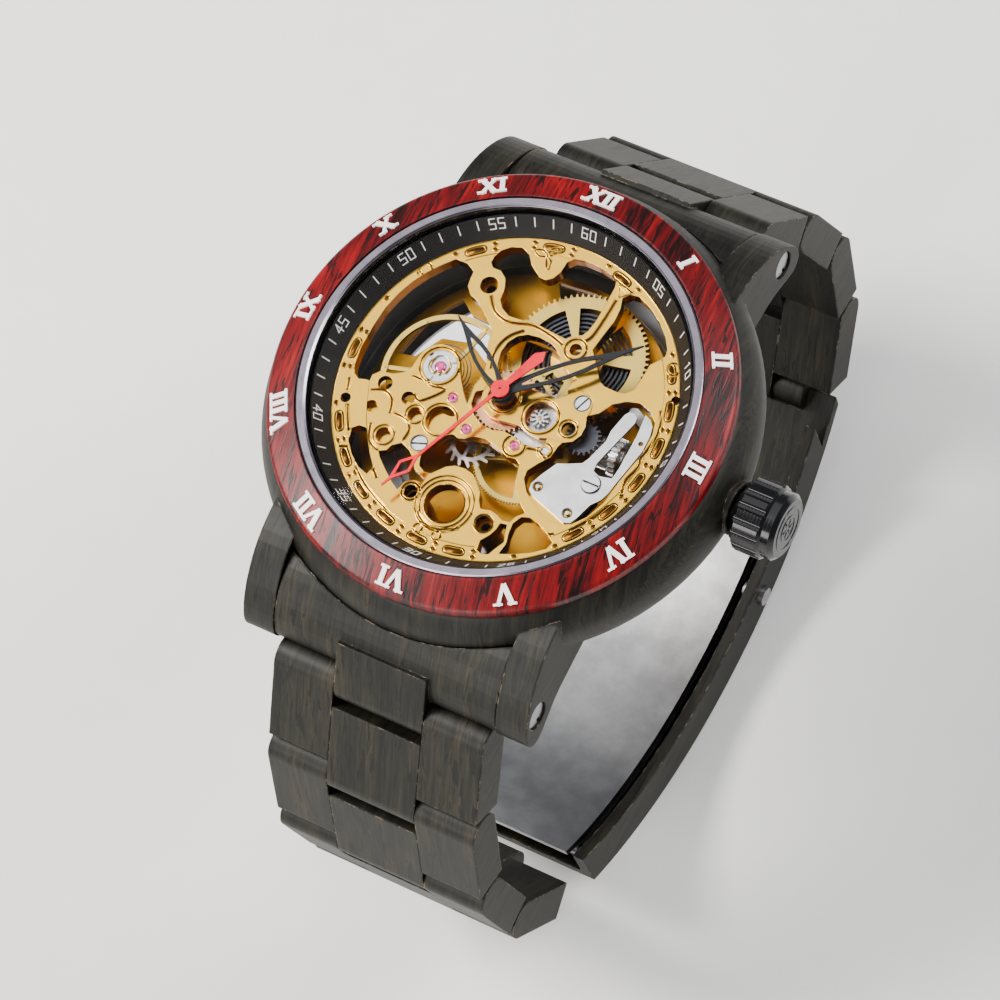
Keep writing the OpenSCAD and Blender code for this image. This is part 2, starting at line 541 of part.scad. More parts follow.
module plate_screws() color([0.75, 0.75, 0.76]) {
  at([6.45, 2.15], plate_top - 0.29) rotate(70) slotted_screw(0.66, 0.24, 0.28, 0.9);
  at([-4.8, -6.6], plate_top - 0.34) rotate(20) slotted_screw(0.68, 0.25, 0.28, 0.8);
  at(cover_screw, plate_top - 0.11) slotted_screw(0.78, 0.22, 0.28, 0.9);
  at([5.55, -2.95], plate_top - 0.3) slotted_screw(0.32, 0.25, 0.25, 0.5);
  for (p = cover_pins) at(p, plate_top - 0.8) cylinder(r = 0.17, h = 0.75);
}

module shock_setting() color([0.85, 0.8, 0.72]) at(balance_at, plate_top - 0.7) {
  difference() {
    ring(1.46, 1.05, 0.68);
    for (a = [30, 150, 270]) rotate(a) translate([1.0, -0.2, 0.5]) cube([0.6, 0.4, 1]);
  }
  translate([0, 0, 0.25]) ring(1.07, 0.68, 0.2);
  translate([0, 0, 0.25]) difference() {
    cylinder(r = 0.66, h = 0.25);
    translate([0, 0, -1]) cylinder(r = 0.1, h = 1.12);
  }
}

// ---------------------------------------------------------------- going train
barrel_z = 5.65;
barrel_turn = mesh_turn([0, 0], barrel_at, centre_leaves, barrel_teeth, 0);
module barrel() color([0.85, 0.75, 0.45]) at(barrel_at, 0) {
  translate([0, 0, barrel_z]) linear_extrude(0.42) difference() {
    rotate(barrel_turn) polygon(gear_points(barrel_teeth, m_barrel));
    for (i = [0 : 6]) rotate(360 * i / 7 - 6) difference() {
      circle(4.85);
      circle(2.3);
      rotate(18) translate([-6, 0]) square([12, 6]);
      rotate(-18) translate([-6, -6]) square([12, 6]);
      translate([-6, -6]) square([6, 12]);
    }
    circle(0.72);
  }
  translate([0, 0, 4.5]) ring(5.3, 5.05, barrel_z - 4.5);
  translate([0, 0, 4.5]) ring(5.1, 0.72, 0.15);
}

// A flat strip of one width, wound outward from r0 to r1.
module spiral(r0, r1, coils, w, steps) polygon([for (side = [0, 1]) for (k = [0 : coils * steps])
  let (i = side == 0 ? k : coils * steps - k, a = 360 * i / steps,
    r = r0 + (r1 - r0) * i / (coils * steps) + side * w) [r * cos(a), r * sin(a)]]);

module mainspring() color([0.45, 0.45, 0.47]) at(barrel_at, 4.75)
  linear_extrude(0.82) spiral(2.3, 4.75, 6, 0.18, 24);

module barrel_arbor() color([0.78, 0.78, 0.78]) at(barrel_at, 2.6) {
  cylinder(r = 0.45, h = 4.3);
  translate([0, 0, 1.6]) cylinder(r = 0.66, h = 1.9);
}

centre_z = 6.2;
third_z = 5.3;
fourth_z = 4.1;
escape_z = 5.75;
third_turn = mesh_turn([0, 0], third_at, centre_teeth, third_leaves, 0);
third_wheel_turn = mesh_turn([0, 0], third_at, seconds_leaves, third_teeth, 0);
escape_pinion_turn = mesh_turn([0, 0], escape_at, fourth_teeth, escape_leaves, 0);

module centre_wheel() color([0.86, 0.74, 0.38]) {
  translate([0, 0, centre_z]) wheel(centre_teeth, m_centre, 0.16, 0.45, 5, 0.4, 1.0, 0.36);
  translate([0, 0, barrel_z - 0.05]) gear(centre_leaves, m_barrel, centre_z - barrel_z + 0.05 + eps, 0.36);
  translate([0, 0, centre_z]) ring(0.52, 0.36, 0.6);
}

module third_wheel() color([0.86, 0.74, 0.38]) at(third_at, 0) {
  translate([0, 0, third_z]) wheel(third_teeth, m_third, 0.18, 0.45, 4, 0.4, 0.8, 0.06, third_wheel_turn);
  translate([0, 0, centre_z - 0.15]) gear(third_leaves, m_centre, 0.5, 0.06, third_turn);
  translate([0, 0, 3.4]) cylinder(r = 0.08, h = 4.75);
}

// The fourth wheel, its seconds pinion and the long arbor that carries the second hand.
module fourth_wheel() color([0.86, 0.76, 0.42]) {
  translate([0, 0, fourth_z]) wheel(fourth_teeth, m_fourth, 0.18, 0.4, 4, 0.4, 0.8, 0.1);
  translate([0, 0, third_z - 0.1]) gear(seconds_leaves, m_third, 0.35, 0.1);
  translate([0, 0, 3.4]) cylinder(r = 0.15, h = second_z - 3.4);
}

escape_teeth = 18;
module escape_wheel() color([0.85, 0.85, 0.85]) at(escape_at, 0) {
  translate([0, 0, escape_z]) linear_extrude(0.12) difference() {
    union() {
      circle(1.9);
      for (i = [0 : escape_teeth - 1]) rotate(360 * i / escape_teeth)
        polygon([[1.8, -0.18], [2.42, 0.3], [2.5, 0.42], [2.3, 0.5], [1.8, 0.2]]);
    }
    difference() {
      circle(1.55);
      circle(0.6);
      spokes(4, 0, 1.7, 0.26);
    }
    circle(0.08);
  }
  translate([0, 0, fourth_z - 0.1]) gear(escape_leaves, m_fourth, 0.4, 0.08, escape_pinion_turn);
  translate([0, 0, 3.4]) cylinder(r = 0.1, h = plate_top - 3.9);
  translate([0, 0, plate_top - 0.5]) cylinder(r = 0.07, h = 0.3);
}

fork_angle = atan2(escape_at[1] - pallet_at[1], escape_at[0] - pallet_at[0]);
module pallet_fork() color([0.8, 0.8, 0.8]) at(pallet_at, 0) {
  translate([0, 0, escape_z]) rotate(fork_angle) linear_extrude(0.14) difference() {
    union() {
      circle(0.35);
      translate([-2.3, -0.13]) square([2.3, 0.26]);
      translate([-2.5, -0.32]) square([0.35, 0.64]);
      stroke([0, 0], [0.9, 1.5], 0.3);
      stroke([0, 0], [0.9, -1.5], 0.3);
    }
    translate([-2.7, -0.12]) square([0.4, 0.24]);
  }
  translate([0, 0, 3.4]) cylinder(r = 0.09, h = 2.9);
}

balance_r = 5.6;
module balance_wheel() color([0.87, 0.78, 0.45]) at(balance_at, 0) {
  translate([0, 0, 6.45]) ring(balance_r, balance_r - 0.5, 0.36);
  translate([0, 0, 6.45]) linear_extrude(0.16) difference() {
    union() {
      circle(0.7);
      rotate(75) spokes(3, 0, balance_r - 0.3, 0.4);
    }
  }
  for (i = [0 : 11]) rotate(30 * i + 15) translate([balance_r - 0.25, 0, 6.8]) cylinder(r = 0.18, h = 0.08);
  translate([0, 0, 3.4]) cylinder(r = 0.13, h = 4.4);
  translate([0, 0, escape_z - 0.05]) cylinder(r = 0.4, h = 0.3);
}

module hairspring() color([0.6, 0.6, 0.62]) at(balance_at, 7.12) {
  linear_extrude(0.1) spiral(0.6, 2.7, 7, 0.07, 30);
  ring(0.68, 0.13, 0.12);
}

// ---------------------------------------------------------------- motion work and hands
minute_turn = mesh_turn([0, 0], minute_at, cannon_leaves, minute_teeth, 0);
hour_turn = mesh_turn(minute_at, [0, 0], minute_leaves, hour_teeth, 0);
setting_turn = mesh_turn(minute_at, setting_at, minute_teeth, setting_teeth, minute_turn);
minute_wheel_z = plate_top - 1.25;
hour_wheel_z = plate_top - 0.92;

module cannon_pinion() color([0.06, 0.06, 0.06]) {
  translate([0, 0, minute_wheel_z - 0.1]) gear(cannon_leaves, m_minute, 0.32, 0.2);
  translate([0, 0, minute_wheel_z]) ring(0.55, 0.2, minute_z - minute_wheel_z);
}

module minute_wheel() color([0.78, 0.78, 0.78]) at(minute_at, 0) {
  translate([0, 0, minute_wheel_z]) gear(minute_teeth, m_minute, 0.2, 0.15, minute_turn);
  translate([0, 0, minute_wheel_z]) gear(minute_leaves, m_hour, 0.72, 0.15);
}

module hour_wheel() color([0.85, 0.62, 0.42]) {
  translate([0, 0, hour_wheel_z]) gear(hour_teeth, m_hour, 0.2, 0.62, hour_turn);
  translate([0, 0, hour_wheel_z]) ring(0.95, 0.62, hour_z - hour_wheel_z);
}

module setting_wheel() color([0.3, 0.29, 0.28]) at(setting_at, minute_wheel_z)
  gear(setting_teeth, m_minute, 0.22, 0.2, setting_turn);

// A leaf hand: two bars that bow apart and meet in a thin solid tip.
function both_sides(pts) = concat(pts, [for (i = [len(pts) - 1 : -1 : 0]) [-pts[i][0], pts[i][1]]]);
leaf_outline = [[0.5, 0], [0.62, 1.5], [0.76, 2.8], [0.79, 3.9], [0.66, 5.1], [0.38, 6.3], [0.2, 7.2], [0.04, 8.5]];
leaf_hole = [[0.12, 1.25], [0.34, 2.1], [0.45, 3.1], [0.46, 3.9], [0.34, 4.9], [0.02, 6.1]];
module leaf_hand(length, t, r_hub, r_hole) {
  linear_extrude(t) difference() {
    union() {
      circle(r_hub);
      polygon([for (p = both_sides(leaf_outline)) [p[0], p[1] * length / 8.5]]);
    }
    circle(r_hole);
    polygon([for (p = both_sides(leaf_hole)) [p[0], p[1] * length / 8.5]]);
  }
}

module hour_hand() color([0.06, 0.07, 0.07]) translate([0, 0, hour_z]) rotate(-hour_angle)
  leaf_hand(8.5, 0.2, 1.05, 0.6);

module minute_hand() color([0.06, 0.07, 0.07]) translate([0, 0, minute_z]) rotate(-minute_angle)
  leaf_hand(12.6, 0.18, 0.95, 0.25);

module second_hand() color([0.9, 0.07, 0.1]) translate([0, 0, second_z]) rotate(-second_angle)
  difference() {
    union() {
      linear_extrude(0.14) difference() {
        polygon([[-0.55, -4.2], [-0.17, 0], [-0.13, 9.0], [-0.72, 10.4], [-0.12, 11.9], [-0.07, 12.9],
          [0.07, 12.9], [0.12, 11.9], [0.72, 10.4], [0.13, 9.0], [0.17, 0], [0.55, -4.2], [0, -5.0]]);
        polygon([[0, 9.4], [0.45, 10.4], [0, 11.5], [-0.45, 10.4]]);
      }
      cylinder(r = 0.8, h = 0.2);
    }
    translate([0, 0, -1]) cylinder(r = 0.1, h = 3);
  }

// ---------------------------------------------------------------- automatic winding
module rotor() color([0.6, 0.6, 0.6]) difference() {
  union() {
    intersection() {
      translate([0, 0, 1.75]) cylinder(r = 13.4, h = 0.5);
      translate([-20, -40, 0]) cube([40, 40, 5]);
    }
    intersection() {
      translate([0, 0, 1.35]) ring(13.4, 11.0, 1.35);
      translate([-20, -40, 0]) cube([40, 40, 5]);
    }
    translate([0, 0, 1.75]) cylinder(r = 2.2, h = 0.5);
  }
  translate([0, 0, 0]) cylinder(r = 1.55, h = 5);
  for (i = [0 : 4]) rotate(-30 * i - 30) translate([7.2, 0, 0]) cylinder(r = 1.35, h = 5);
}

module rotor_bearing() color([0.75, 0.75, 0.75]) {
  translate([0, 0, 1.6]) cylinder(r = 1.5, h = 0.8);
  translate([0, 0, 2.4]) cylinder(r = 0.7, h = 0.95);
}

// ---------------------------------------------------------------- bracelet
module yz(x0, x1) {
  translate([x0, 0, 0]) rotate([90, 0, 90]) linear_extrude(x1 - x0) children();
}

end_t = link_t / 2;
module end_link(side) color([0.11, 0.10, 0.09]) sided(side) difference() {
  union() {
    yz(-lug_gap / 2 + 0.1, lug_gap / 2 - 0.1) polygon(through([[16, 6.2], [19.5, 6.2], [21.9, 5.2],
      [23.7, 3.5], [24.7, 1.6], [24.8, 0.3], [24.2, -0.3], [22.5, 0.2], [20, 0.8], [16, 1.4]]));
    yz(-centre_w / 2, centre_w / 2) {
      translate(first_pin) circle(end_t);
      translate(first_pin) rotate(-link_angles[0]) translate([-5, -end_t]) square([5, link_t]);
    }
  }
  translate([0, 0, -2]) cylinder(r = case_r + 0.08, h = 12, $fn = 128);
  for (s = [-1, 1]) translate([s > 0 ? centre_w / 2 + eps : -20 - centre_w / 2 - eps, first_pin[0], first_pin[1]])
    rotate([0, 90, 0]) cylinder(r = end_t + 0.15, h = 20);
  translate([-20, first_pin[0], first_pin[1]]) rotate([0, 90, 0]) cylinder(r = pin_r + 0.05, h = 40);
  translate([-20, bar_at[0], bar_at[1]]) rotate([0, 90, 0]) cylinder(r = bar_r + gap, h = 40);
}

// One link: two outer pieces, the centre piece half a pitch on, and the pin at its upper end.
module link_piece(w, s0, s1, round_start) rotate([90, 0, 90]) linear_extrude(w) {
  translate([round_start ? s0 + end_t : s0, -end_t]) square([s1 - s0 - end_t, link_t]);
  translate([round_start ? s0 + end_t : s1 - end_t, 0]) circle(end_t);
}
outer_w = (band_w - centre_w) / 2 - gap;
module link(side, k) color([0.11, 0.10, 0.09]) sided(side)
  translate([0, pin_at(k - 1)[0], pin_at(k - 1)[1]]) rotate([-link_angles[k - 1], 0, 0]) difference() {
    union() {
      for (s = [-1, 1]) translate([s > 0 ? centre_w / 2 + gap : -centre_w / 2 - gap - outer_w, 0, 0])
        link_piece(outer_w, -end_t, pitch - end_t - 0.25, true);
      translate([-centre_w / 2, 0, 0]) link_piece(centre_w, end_t + 0.25, pitch + end_t, false);
      translate([-band_w / 2 + 0.6, 0, 0]) rotate([0, 90, 0]) cylinder(r = pin_r, h = band_w - 1.2);
      translate([-centre_w / 2 - 1, pitch / 2, 0]) rotate([0, 90, 0]) cylinder(r = pin_r, h = centre_w + 2);
    }
    translate([-20, pitch, 0]) rotate([0, 90, 0]) cylinder(r = pin_r + 0.05, h = 40);
  }

module end_link_12() end_link(1);
module end_link_6() end_link(-1);
module link_12_1() link(1, 1);
module link_12_2() link(1, 2);
module link_12_3() link(1, 3);
module link_12_4() link(1, 4);
module link_6_1() link(-1, 1);
module link_6_2() link(-1, 2);
module link_6_3() link(-1, 3);
module link_6_4() link(-1, 4);

// Folding clasp: a cover and two blades that fold under it.
last_pin = pin_at(4);
cover_t = 1.1;
cover_w = 20.4;
clasp_r = 42;
clasp_z = last_pin[1] - end_t - clasp_r + sqrt(clasp_r * clasp_r - last_pin[0] * last_pin[0]);
function arc_z(y, r) = clasp_z + clasp_r - sqrt(r * r - y * y);
module clasp_arc(r0, r1, y0, y1) {
  intersection() {
    translate([0, clasp_z + clasp_r]) difference() {
      circle(r = r1, $fn = 200);
      circle(r = r0, $fn = 200);
    }
    translate([y0, clasp_z - 4]) square([y1 - y0, 18]);
  }
}
module rod(x0, x1, p, r) {
  translate([x0, p[0], p[1]]) rotate([0, 90, 0]) cylinder(r = r, h = x1 - x0);
}
cover_y0 = -last_pin[0] + 3.2;
cover_hinge = [cover_y0 + 1.6, arc_z(cover_y0 + 1.6, 40.1)];
blade_hinge = [15, arc_z(15, 39.4)];
button_at = [9, arc_z(9, 39.6)];
module clasp_cover() color([0.11, 0.10, 0.09]) difference() {
  union() {
    yz(-cover_w / 2, cover_w / 2) clasp_arc(clasp_r - cover_t, clasp_r, cover_y0, last_pin[0] + 0.6);
    for (x = [-cover_w / 2, cover_w / 2 - 1.1])
      yz(x, x + 1.1) clasp_arc(clasp_r - 4.4, clasp_r - 0.2, cover_y0, last_pin[0] - 3.4);
    for (x = [-centre_w / 2 - 3.1, centre_w / 2 + 0.1]) yz(x, x + 3) {
      translate(last_pin) circle(end_t - 0.3);
      translate([last_pin[0] - 1.3, last_pin[1] - 1.6]) square([1.9, 1.6]);
    }
    rod(-cover_w / 2 + 0.5, cover_w / 2 - 0.5, cover_hinge, 0.4);
    rod(-centre_w / 2 - 2, centre_w / 2 + 2, last_pin, pin_r);
  }
  difference() {
    rod(-centre_w / 2 - 0.08, centre_w / 2 + 0.08, last_pin, end_t + 0.25);
    rod(-centre_w / 2 - 1, centre_w / 2 + 1, last_pin, pin_r);
  }
  rod(-20, 20, button_at, 0.95);
}

module blade(r0, r1, y0, y1) {
  yz(-blade_w / 2, blade_w / 2) clasp_arc(r0, r1, y0, y1);
}
blade_w = 16;
module clasp_blade_outer() color([0.68, 0.68, 0.69]) difference() {
  union() {
    blade(39.8, 40.5, cover_hinge[0], blade_hinge[0] - 0.9);
    rod(-blade_w / 2, blade_w / 2, cover_hinge, 0.62);
    yz(-3, 3) {
      clasp_arc(39.8, 40.5, 10, blade_hinge[0]);
      translate(blade_hinge) circle(0.8);
    }
    rod(-blade_w / 2, blade_w / 2, blade_hinge, 0.35);
  }
  rod(-20, 20, cover_hinge, 0.44);
}

module clasp_blade_inner() color([0.68, 0.68, 0.69]) difference() {
  union() {
    blade(38.3, 39.0, -last_pin[0] + 3.5, blade_hinge[0] - 0.9);
    for (x = [-blade_w / 2, 3.1]) yz(x, x + blade_w / 2 - 3.1) {
      clasp_arc(38.3, 39.0, 10, blade_hinge[0]);
      translate(blade_hinge) circle(0.8);
    }
  }
  rod(-20, 20, blade_hinge, 0.39);
}

module clasp_button(side) color([0.6, 0.6, 0.6])
  rod(side > 0 ? cover_w / 2 - 1.7 : -cover_w / 2 - 0.5, side > 0 ? cover_w / 2 + 0.5 : -cover_w / 2 + 1.7,
    button_at, 0.88);
module button_3() clasp_button(1);
module button_9() clasp_button(-1);

case_body();
bezel();
bezel_numerals();
crystal();
crystal_ring();
chapter_ring();
case_back();
back_glass();
lug_bars();
crown();
stem();
setting_lever();
yoke();
sliding_pinion();
winding_pinion();
crown_wheel();
ratchet_wheel();
main_plate();
lower_plate();
balance_bridge();
centre_bridge();
jewels();
plate_screws();
shock_setting();
cover_plate();
setting_wheel();
barrel();
mainspring();
barrel_arbor();
centre_wheel();
third_wheel();
fourth_wheel();
escape_wheel();
pallet_fork();
balance_wheel();
hairspring();
cannon_pinion();
minute_wheel();
hour_wheel();
hour_hand();
minute_hand();
second_hand();
rotor();
rotor_bearing();
end_link_12();
end_link_6();
link_12_1();
link_12_2();
link_12_3();
link_12_4();
link_6_1();
link_6_2();
link_6_3();
link_6_4();
clasp_cover();
clasp_blade_outer();
clasp_blade_inner();
button_3();
button_9();
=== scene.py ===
# %% [markdown]
# # A skeleton wristwatch with a wood-grain bracelet
#
# The watch arrives as a set of imported CAD parts: case, movement, hands, bracelet and clasp. Each part
# is already a real shape on a real body, so this lesson does two things. It gives every part a
# procedural finish, and it adds the fine pieces that a CAD part is too coarse to hold: the printed
# minute track, the engraving on the plate, the beading and the small screws.
#
# The frame comes first. We note its size straight away.

# %% Load the imported watch
import json
import math

import bmesh
import bpy
from mathutils import Matrix, Vector


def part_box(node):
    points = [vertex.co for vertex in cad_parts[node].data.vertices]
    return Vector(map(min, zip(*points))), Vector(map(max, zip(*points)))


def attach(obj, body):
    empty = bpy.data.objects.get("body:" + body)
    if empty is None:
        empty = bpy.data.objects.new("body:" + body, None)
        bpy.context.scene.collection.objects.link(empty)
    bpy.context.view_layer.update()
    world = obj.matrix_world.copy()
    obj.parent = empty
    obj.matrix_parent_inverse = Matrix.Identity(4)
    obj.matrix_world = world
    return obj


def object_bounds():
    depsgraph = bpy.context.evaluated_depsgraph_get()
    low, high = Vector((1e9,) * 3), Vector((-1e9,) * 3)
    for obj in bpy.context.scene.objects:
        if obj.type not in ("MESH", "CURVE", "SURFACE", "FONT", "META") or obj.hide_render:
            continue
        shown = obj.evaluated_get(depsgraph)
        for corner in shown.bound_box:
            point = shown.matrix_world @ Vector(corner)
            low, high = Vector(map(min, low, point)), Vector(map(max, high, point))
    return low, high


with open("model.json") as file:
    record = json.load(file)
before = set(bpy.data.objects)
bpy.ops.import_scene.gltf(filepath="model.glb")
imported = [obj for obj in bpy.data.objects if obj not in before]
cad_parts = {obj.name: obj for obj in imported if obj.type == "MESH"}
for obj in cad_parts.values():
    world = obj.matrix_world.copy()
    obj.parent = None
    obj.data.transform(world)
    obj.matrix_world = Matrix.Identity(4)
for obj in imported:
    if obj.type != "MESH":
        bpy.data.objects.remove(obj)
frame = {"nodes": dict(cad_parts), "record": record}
cad_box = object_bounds()

# %% [markdown]
# ## Working in millimetres
#
# Watch parts are measured in millimetres and Blender works in metres. One factor, `MM`, turns one
# into the other. The heights that the added pieces sit on are read from the parts' own boxes, so a
# change in the CAD carries through.

# %% Heights taken from the parts
MM = 0.001


def low(node):
    return [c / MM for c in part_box(node)[0]]


def high(node):
    return [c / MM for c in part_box(node)[1]]


PLATE_TOP = high("main_plate")[2]
COVER_TOP = high("cover_plate")[2]
BEZEL_R = high("bezel")[0]
FLOOR_Z = cad_box[0][2]
print("plate top at", round(PLATE_TOP, 3), "mm; bezel radius", round(BEZEL_R, 2), "mm")

# %% [markdown]
# ## The camera
#
# A small object looks natural through a long lens from well back, because a short lens close by would
# swell the nearest lug. The camera stands at about four o'clock, roughly sixty degrees up. Its
# direction is written as the three axes of its own frame, which is how an orientation matrix is built.

# %% Place the camera
right = Vector((0.8587, 0.4682, -0.2083)).normalized()
back = Vector((0.3616, -0.2655, 0.8937))
back = (back - back.dot(right) * right).normalized()
up = back.cross(right)
view = Matrix((right, up, back)).transposed().to_4x4()
view.translation = Vector((151.39, -116.57, 372.2)) * MM
lens = bpy.data.cameras.new("studio_camera")
lens.lens = 175.3
lens.sensor_width = 36
lens.clip_start = 0.01
camera = bpy.data.objects.new("studio_camera", lens)
camera.matrix_world = view
bpy.context.collection.objects.link(camera)
bpy.context.scene.camera = camera
print("camera looks down at", round(math.degrees(math.asin(back.z)), 1), "degrees")

# %% [markdown]
# ## Building meshes
#
# Three builders make every added piece. `piece` turns vertices and faces into an object that rides on
# a body and takes its finish from a slot of the record. `sweep` pulls a small outline along a path,
# which suits beads, grooves and wires. `pad` lifts a flat outline into a thin closed solid, which
# suits print, inlays and pits. All of them close their ends, so each piece is a true solid.

# %% Make an object from mesh data
def piece(name, body, slot, verts, faces, smooth=True):
    mesh = bpy.data.meshes.new(name)
    mesh.from_pydata([tuple(c * MM for c in v) for v in verts], [], faces)
    bm = bmesh.new()
    bm.from_mesh(mesh)
    bmesh.ops.remove_doubles(bm, verts=bm.verts, dist=1e-8)
    bmesh.ops.recalc_face_normals(bm, faces=bm.faces)
    bm.to_mesh(mesh)
    bm.free()
    for face in mesh.polygons:
        face.use_smooth = smooth
    thing = bpy.data.objects.new(name, mesh)
    bpy.context.collection.objects.link(thing)
    thing.data.materials.append(finish[slot])
    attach(thing, body)
    return thing


class Shape:
    """Collects solids that end up in one piece."""

    def __init__(self):
        self.verts = []
        self.faces = []

    def add(self, verts, faces):
        start = len(self.verts)
        self.verts += verts
        self.faces += [tuple(i + start for i in f) for f in faces]

    def make(self, name, body, slot, smooth=True):
        thing = piece(name, body, slot, self.verts, self.faces, smooth)
        print(name, "rides on", body, "with", len(thing.data.polygons), "faces")
        return thing


# %% A curve through a few points
def curve(points, steps=8, closed=False):
    """A smooth path through the points (Catmull-Rom)."""
    n = len(points)
    pts = [Vector(p) for p in points]
    out = []
    for i in range(n if closed else n - 1):
        if closed:
            p0, p1, p2, p3 = pts[i - 1], pts[i], pts[(i + 1) % n], pts[(i + 2) % n]
        else:
            p0, p1, p2, p3 = pts[max(i - 1, 0)], pts[i], pts[i + 1], pts[min(i + 2, n - 1)]
        for k in range(steps):
            t = k / steps
            out.append(0.5 * (2 * p1 + (p2 - p0) * t + (2 * p0 - 5 * p1 + 4 * p2 - p3) * t * t
                              + (3 * p1 - p0 - 3 * p2 + p3) * t ** 3))
    if not closed:
        out.append(pts[-1])
    return out


def circle_path(centre, r, count=48, start=0, sweep_deg=360):
    turns = count if sweep_deg == 360 else count + 1
    return [Vector((centre[0] + r * math.cos(math.radians(start + sweep_deg * i / count)),
                    centre[1] + r * math.sin(math.radians(start + sweep_deg * i / count)))) for i in range(turns)]


# %% Pull an outline along a flat path
def sweep(shape, path, z, outline, closed=False):
    """The outline holds (sideways, up) pairs; the path lies flat at height z."""
    n = len(path)
    rings = []
    for i, p in enumerate(path):
        a = path[i - 1] if closed or i else path[0]
        b = path[(i + 1) % n] if closed or i < n - 1 else path[-1]
        along = (b - a).normalized()
        side = Vector((along.y, -along.x))
        rings.append([(p.x + side.x * s, p.y + side.y * s, z + h) for s, h in outline])
    m = len(outline)
    verts = [v for ring in rings for v in ring]
    faces = []
    for i in range(n if closed else n - 1):
        j = (i + 1) % n
        faces += [(i * m + k, i * m + (k + 1) % m, j * m + (k + 1) % m, j * m + k) for k in range(m)]
    if not closed:
        faces += [tuple(range(m)), tuple(range((n - 1) * m, n * m))]
    shape.add(verts, faces)


def bead(width, height):
    """A half-round section that stands on a face."""
    return [(-width / 2, -0.01), (-width * 0.42, height * 0.6), (-width * 0.2, height * 0.95),
            (width * 0.2, height * 0.95), (width * 0.42, height * 0.6), (width / 2, -0.01)]


def pad(shape, outline, z, height):
    """A thin closed solid with a chamfered top, on a flat outline."""
    n = len(outline)
    mid = sum((Vector(p) for p in outline), Vector((0, 0))) / n
    inner = [mid + (Vector(p) - mid) * 0.94 for p in outline]
    verts = [(p[0], p[1], z - 0.01) for p in outline] + [(p[0], p[1], z + height * 0.5) for p in outline]
    verts += [(p.x, p.y, z + height) for p in inner]
    faces = [tuple(range(n)), tuple(range(2 * n, 3 * n))]
    for ring in (0, n):
        faces += [(ring + i, ring + (i + 1) % n, ring + n + (i + 1) % n, ring + n + i) for i in range(n)]
    shape.add(verts, faces)


def lathe(shape, centre, profile, count=32):
    """A turned part: the profile holds (radius, z) pairs from the axis out and back to it."""
    m = len(profile)
    verts = []
    for i in range(count):
        a = 2 * math.pi * i / count
        verts += [(centre[0] + r * math.cos(a), centre[1] + r * math.sin(a), z) for r, z in profile]
    faces = []
    for i in range(count):
        j = (i + 1) % count
        faces += [(i * m + k, j * m + k, j * m + k + 1, i * m + k + 1) for k in range(m - 1)]
    shape.add(verts, faces)


print("builders ready")

# %% [markdown]
# ## Shader maths as plain expressions
#
# A finish is a graph of nodes. Wiring it by hand hides the idea, so one small class wraps a socket and
# lets Python's operators add the Math nodes: `1 - mask` and `grain * 0.4` read as they would on paper.
# A Math node would turn a colour grey, so colours go through `mix`.
# Everything else comes from `Finish.node`, which sets the node's own settings before its sockets.

# %% The socket wrapper
class Value:
    def __init__(self, shader, socket):
        self.shader = shader
        self.socket = socket

    def maths(self, operation, *others, swap=False, clamp=False):
        terms = [self, *others]
        if swap:
            terms.reverse()
        return self.shader.node("ShaderNodeMath", {"operation": operation, "use_clamp": clamp},
                                dict(enumerate(terms)))

    def __add__(self, other):
        return self.maths("ADD", other)

    __radd__ = __add__

    def __sub__(self, other):
        return self.maths("SUBTRACT", other)

    def __rsub__(self, other):
        return self.maths("SUBTRACT", other, swap=True)

    def __mul__(self, other):
        return self.maths("MULTIPLY", other)

    __rmul__ = __mul__

    def __truediv__(self, other):
        return self.maths("DIVIDE", other)

    def __rtruediv__(self, other):
        return self.maths("DIVIDE", other, swap=True)

    def __pow__(self, other):
        return self.maths("POWER", other)

    def above(self, edge, soft=0.05):
        """0 under the edge, 1 over it, with a soft step between."""
        return self.shader.node("ShaderNodeMapRange", {"interpolation_type": "SMOOTHSTEP"},
                                {"Value": self, "From Min": edge - soft, "From Max": edge + soft})


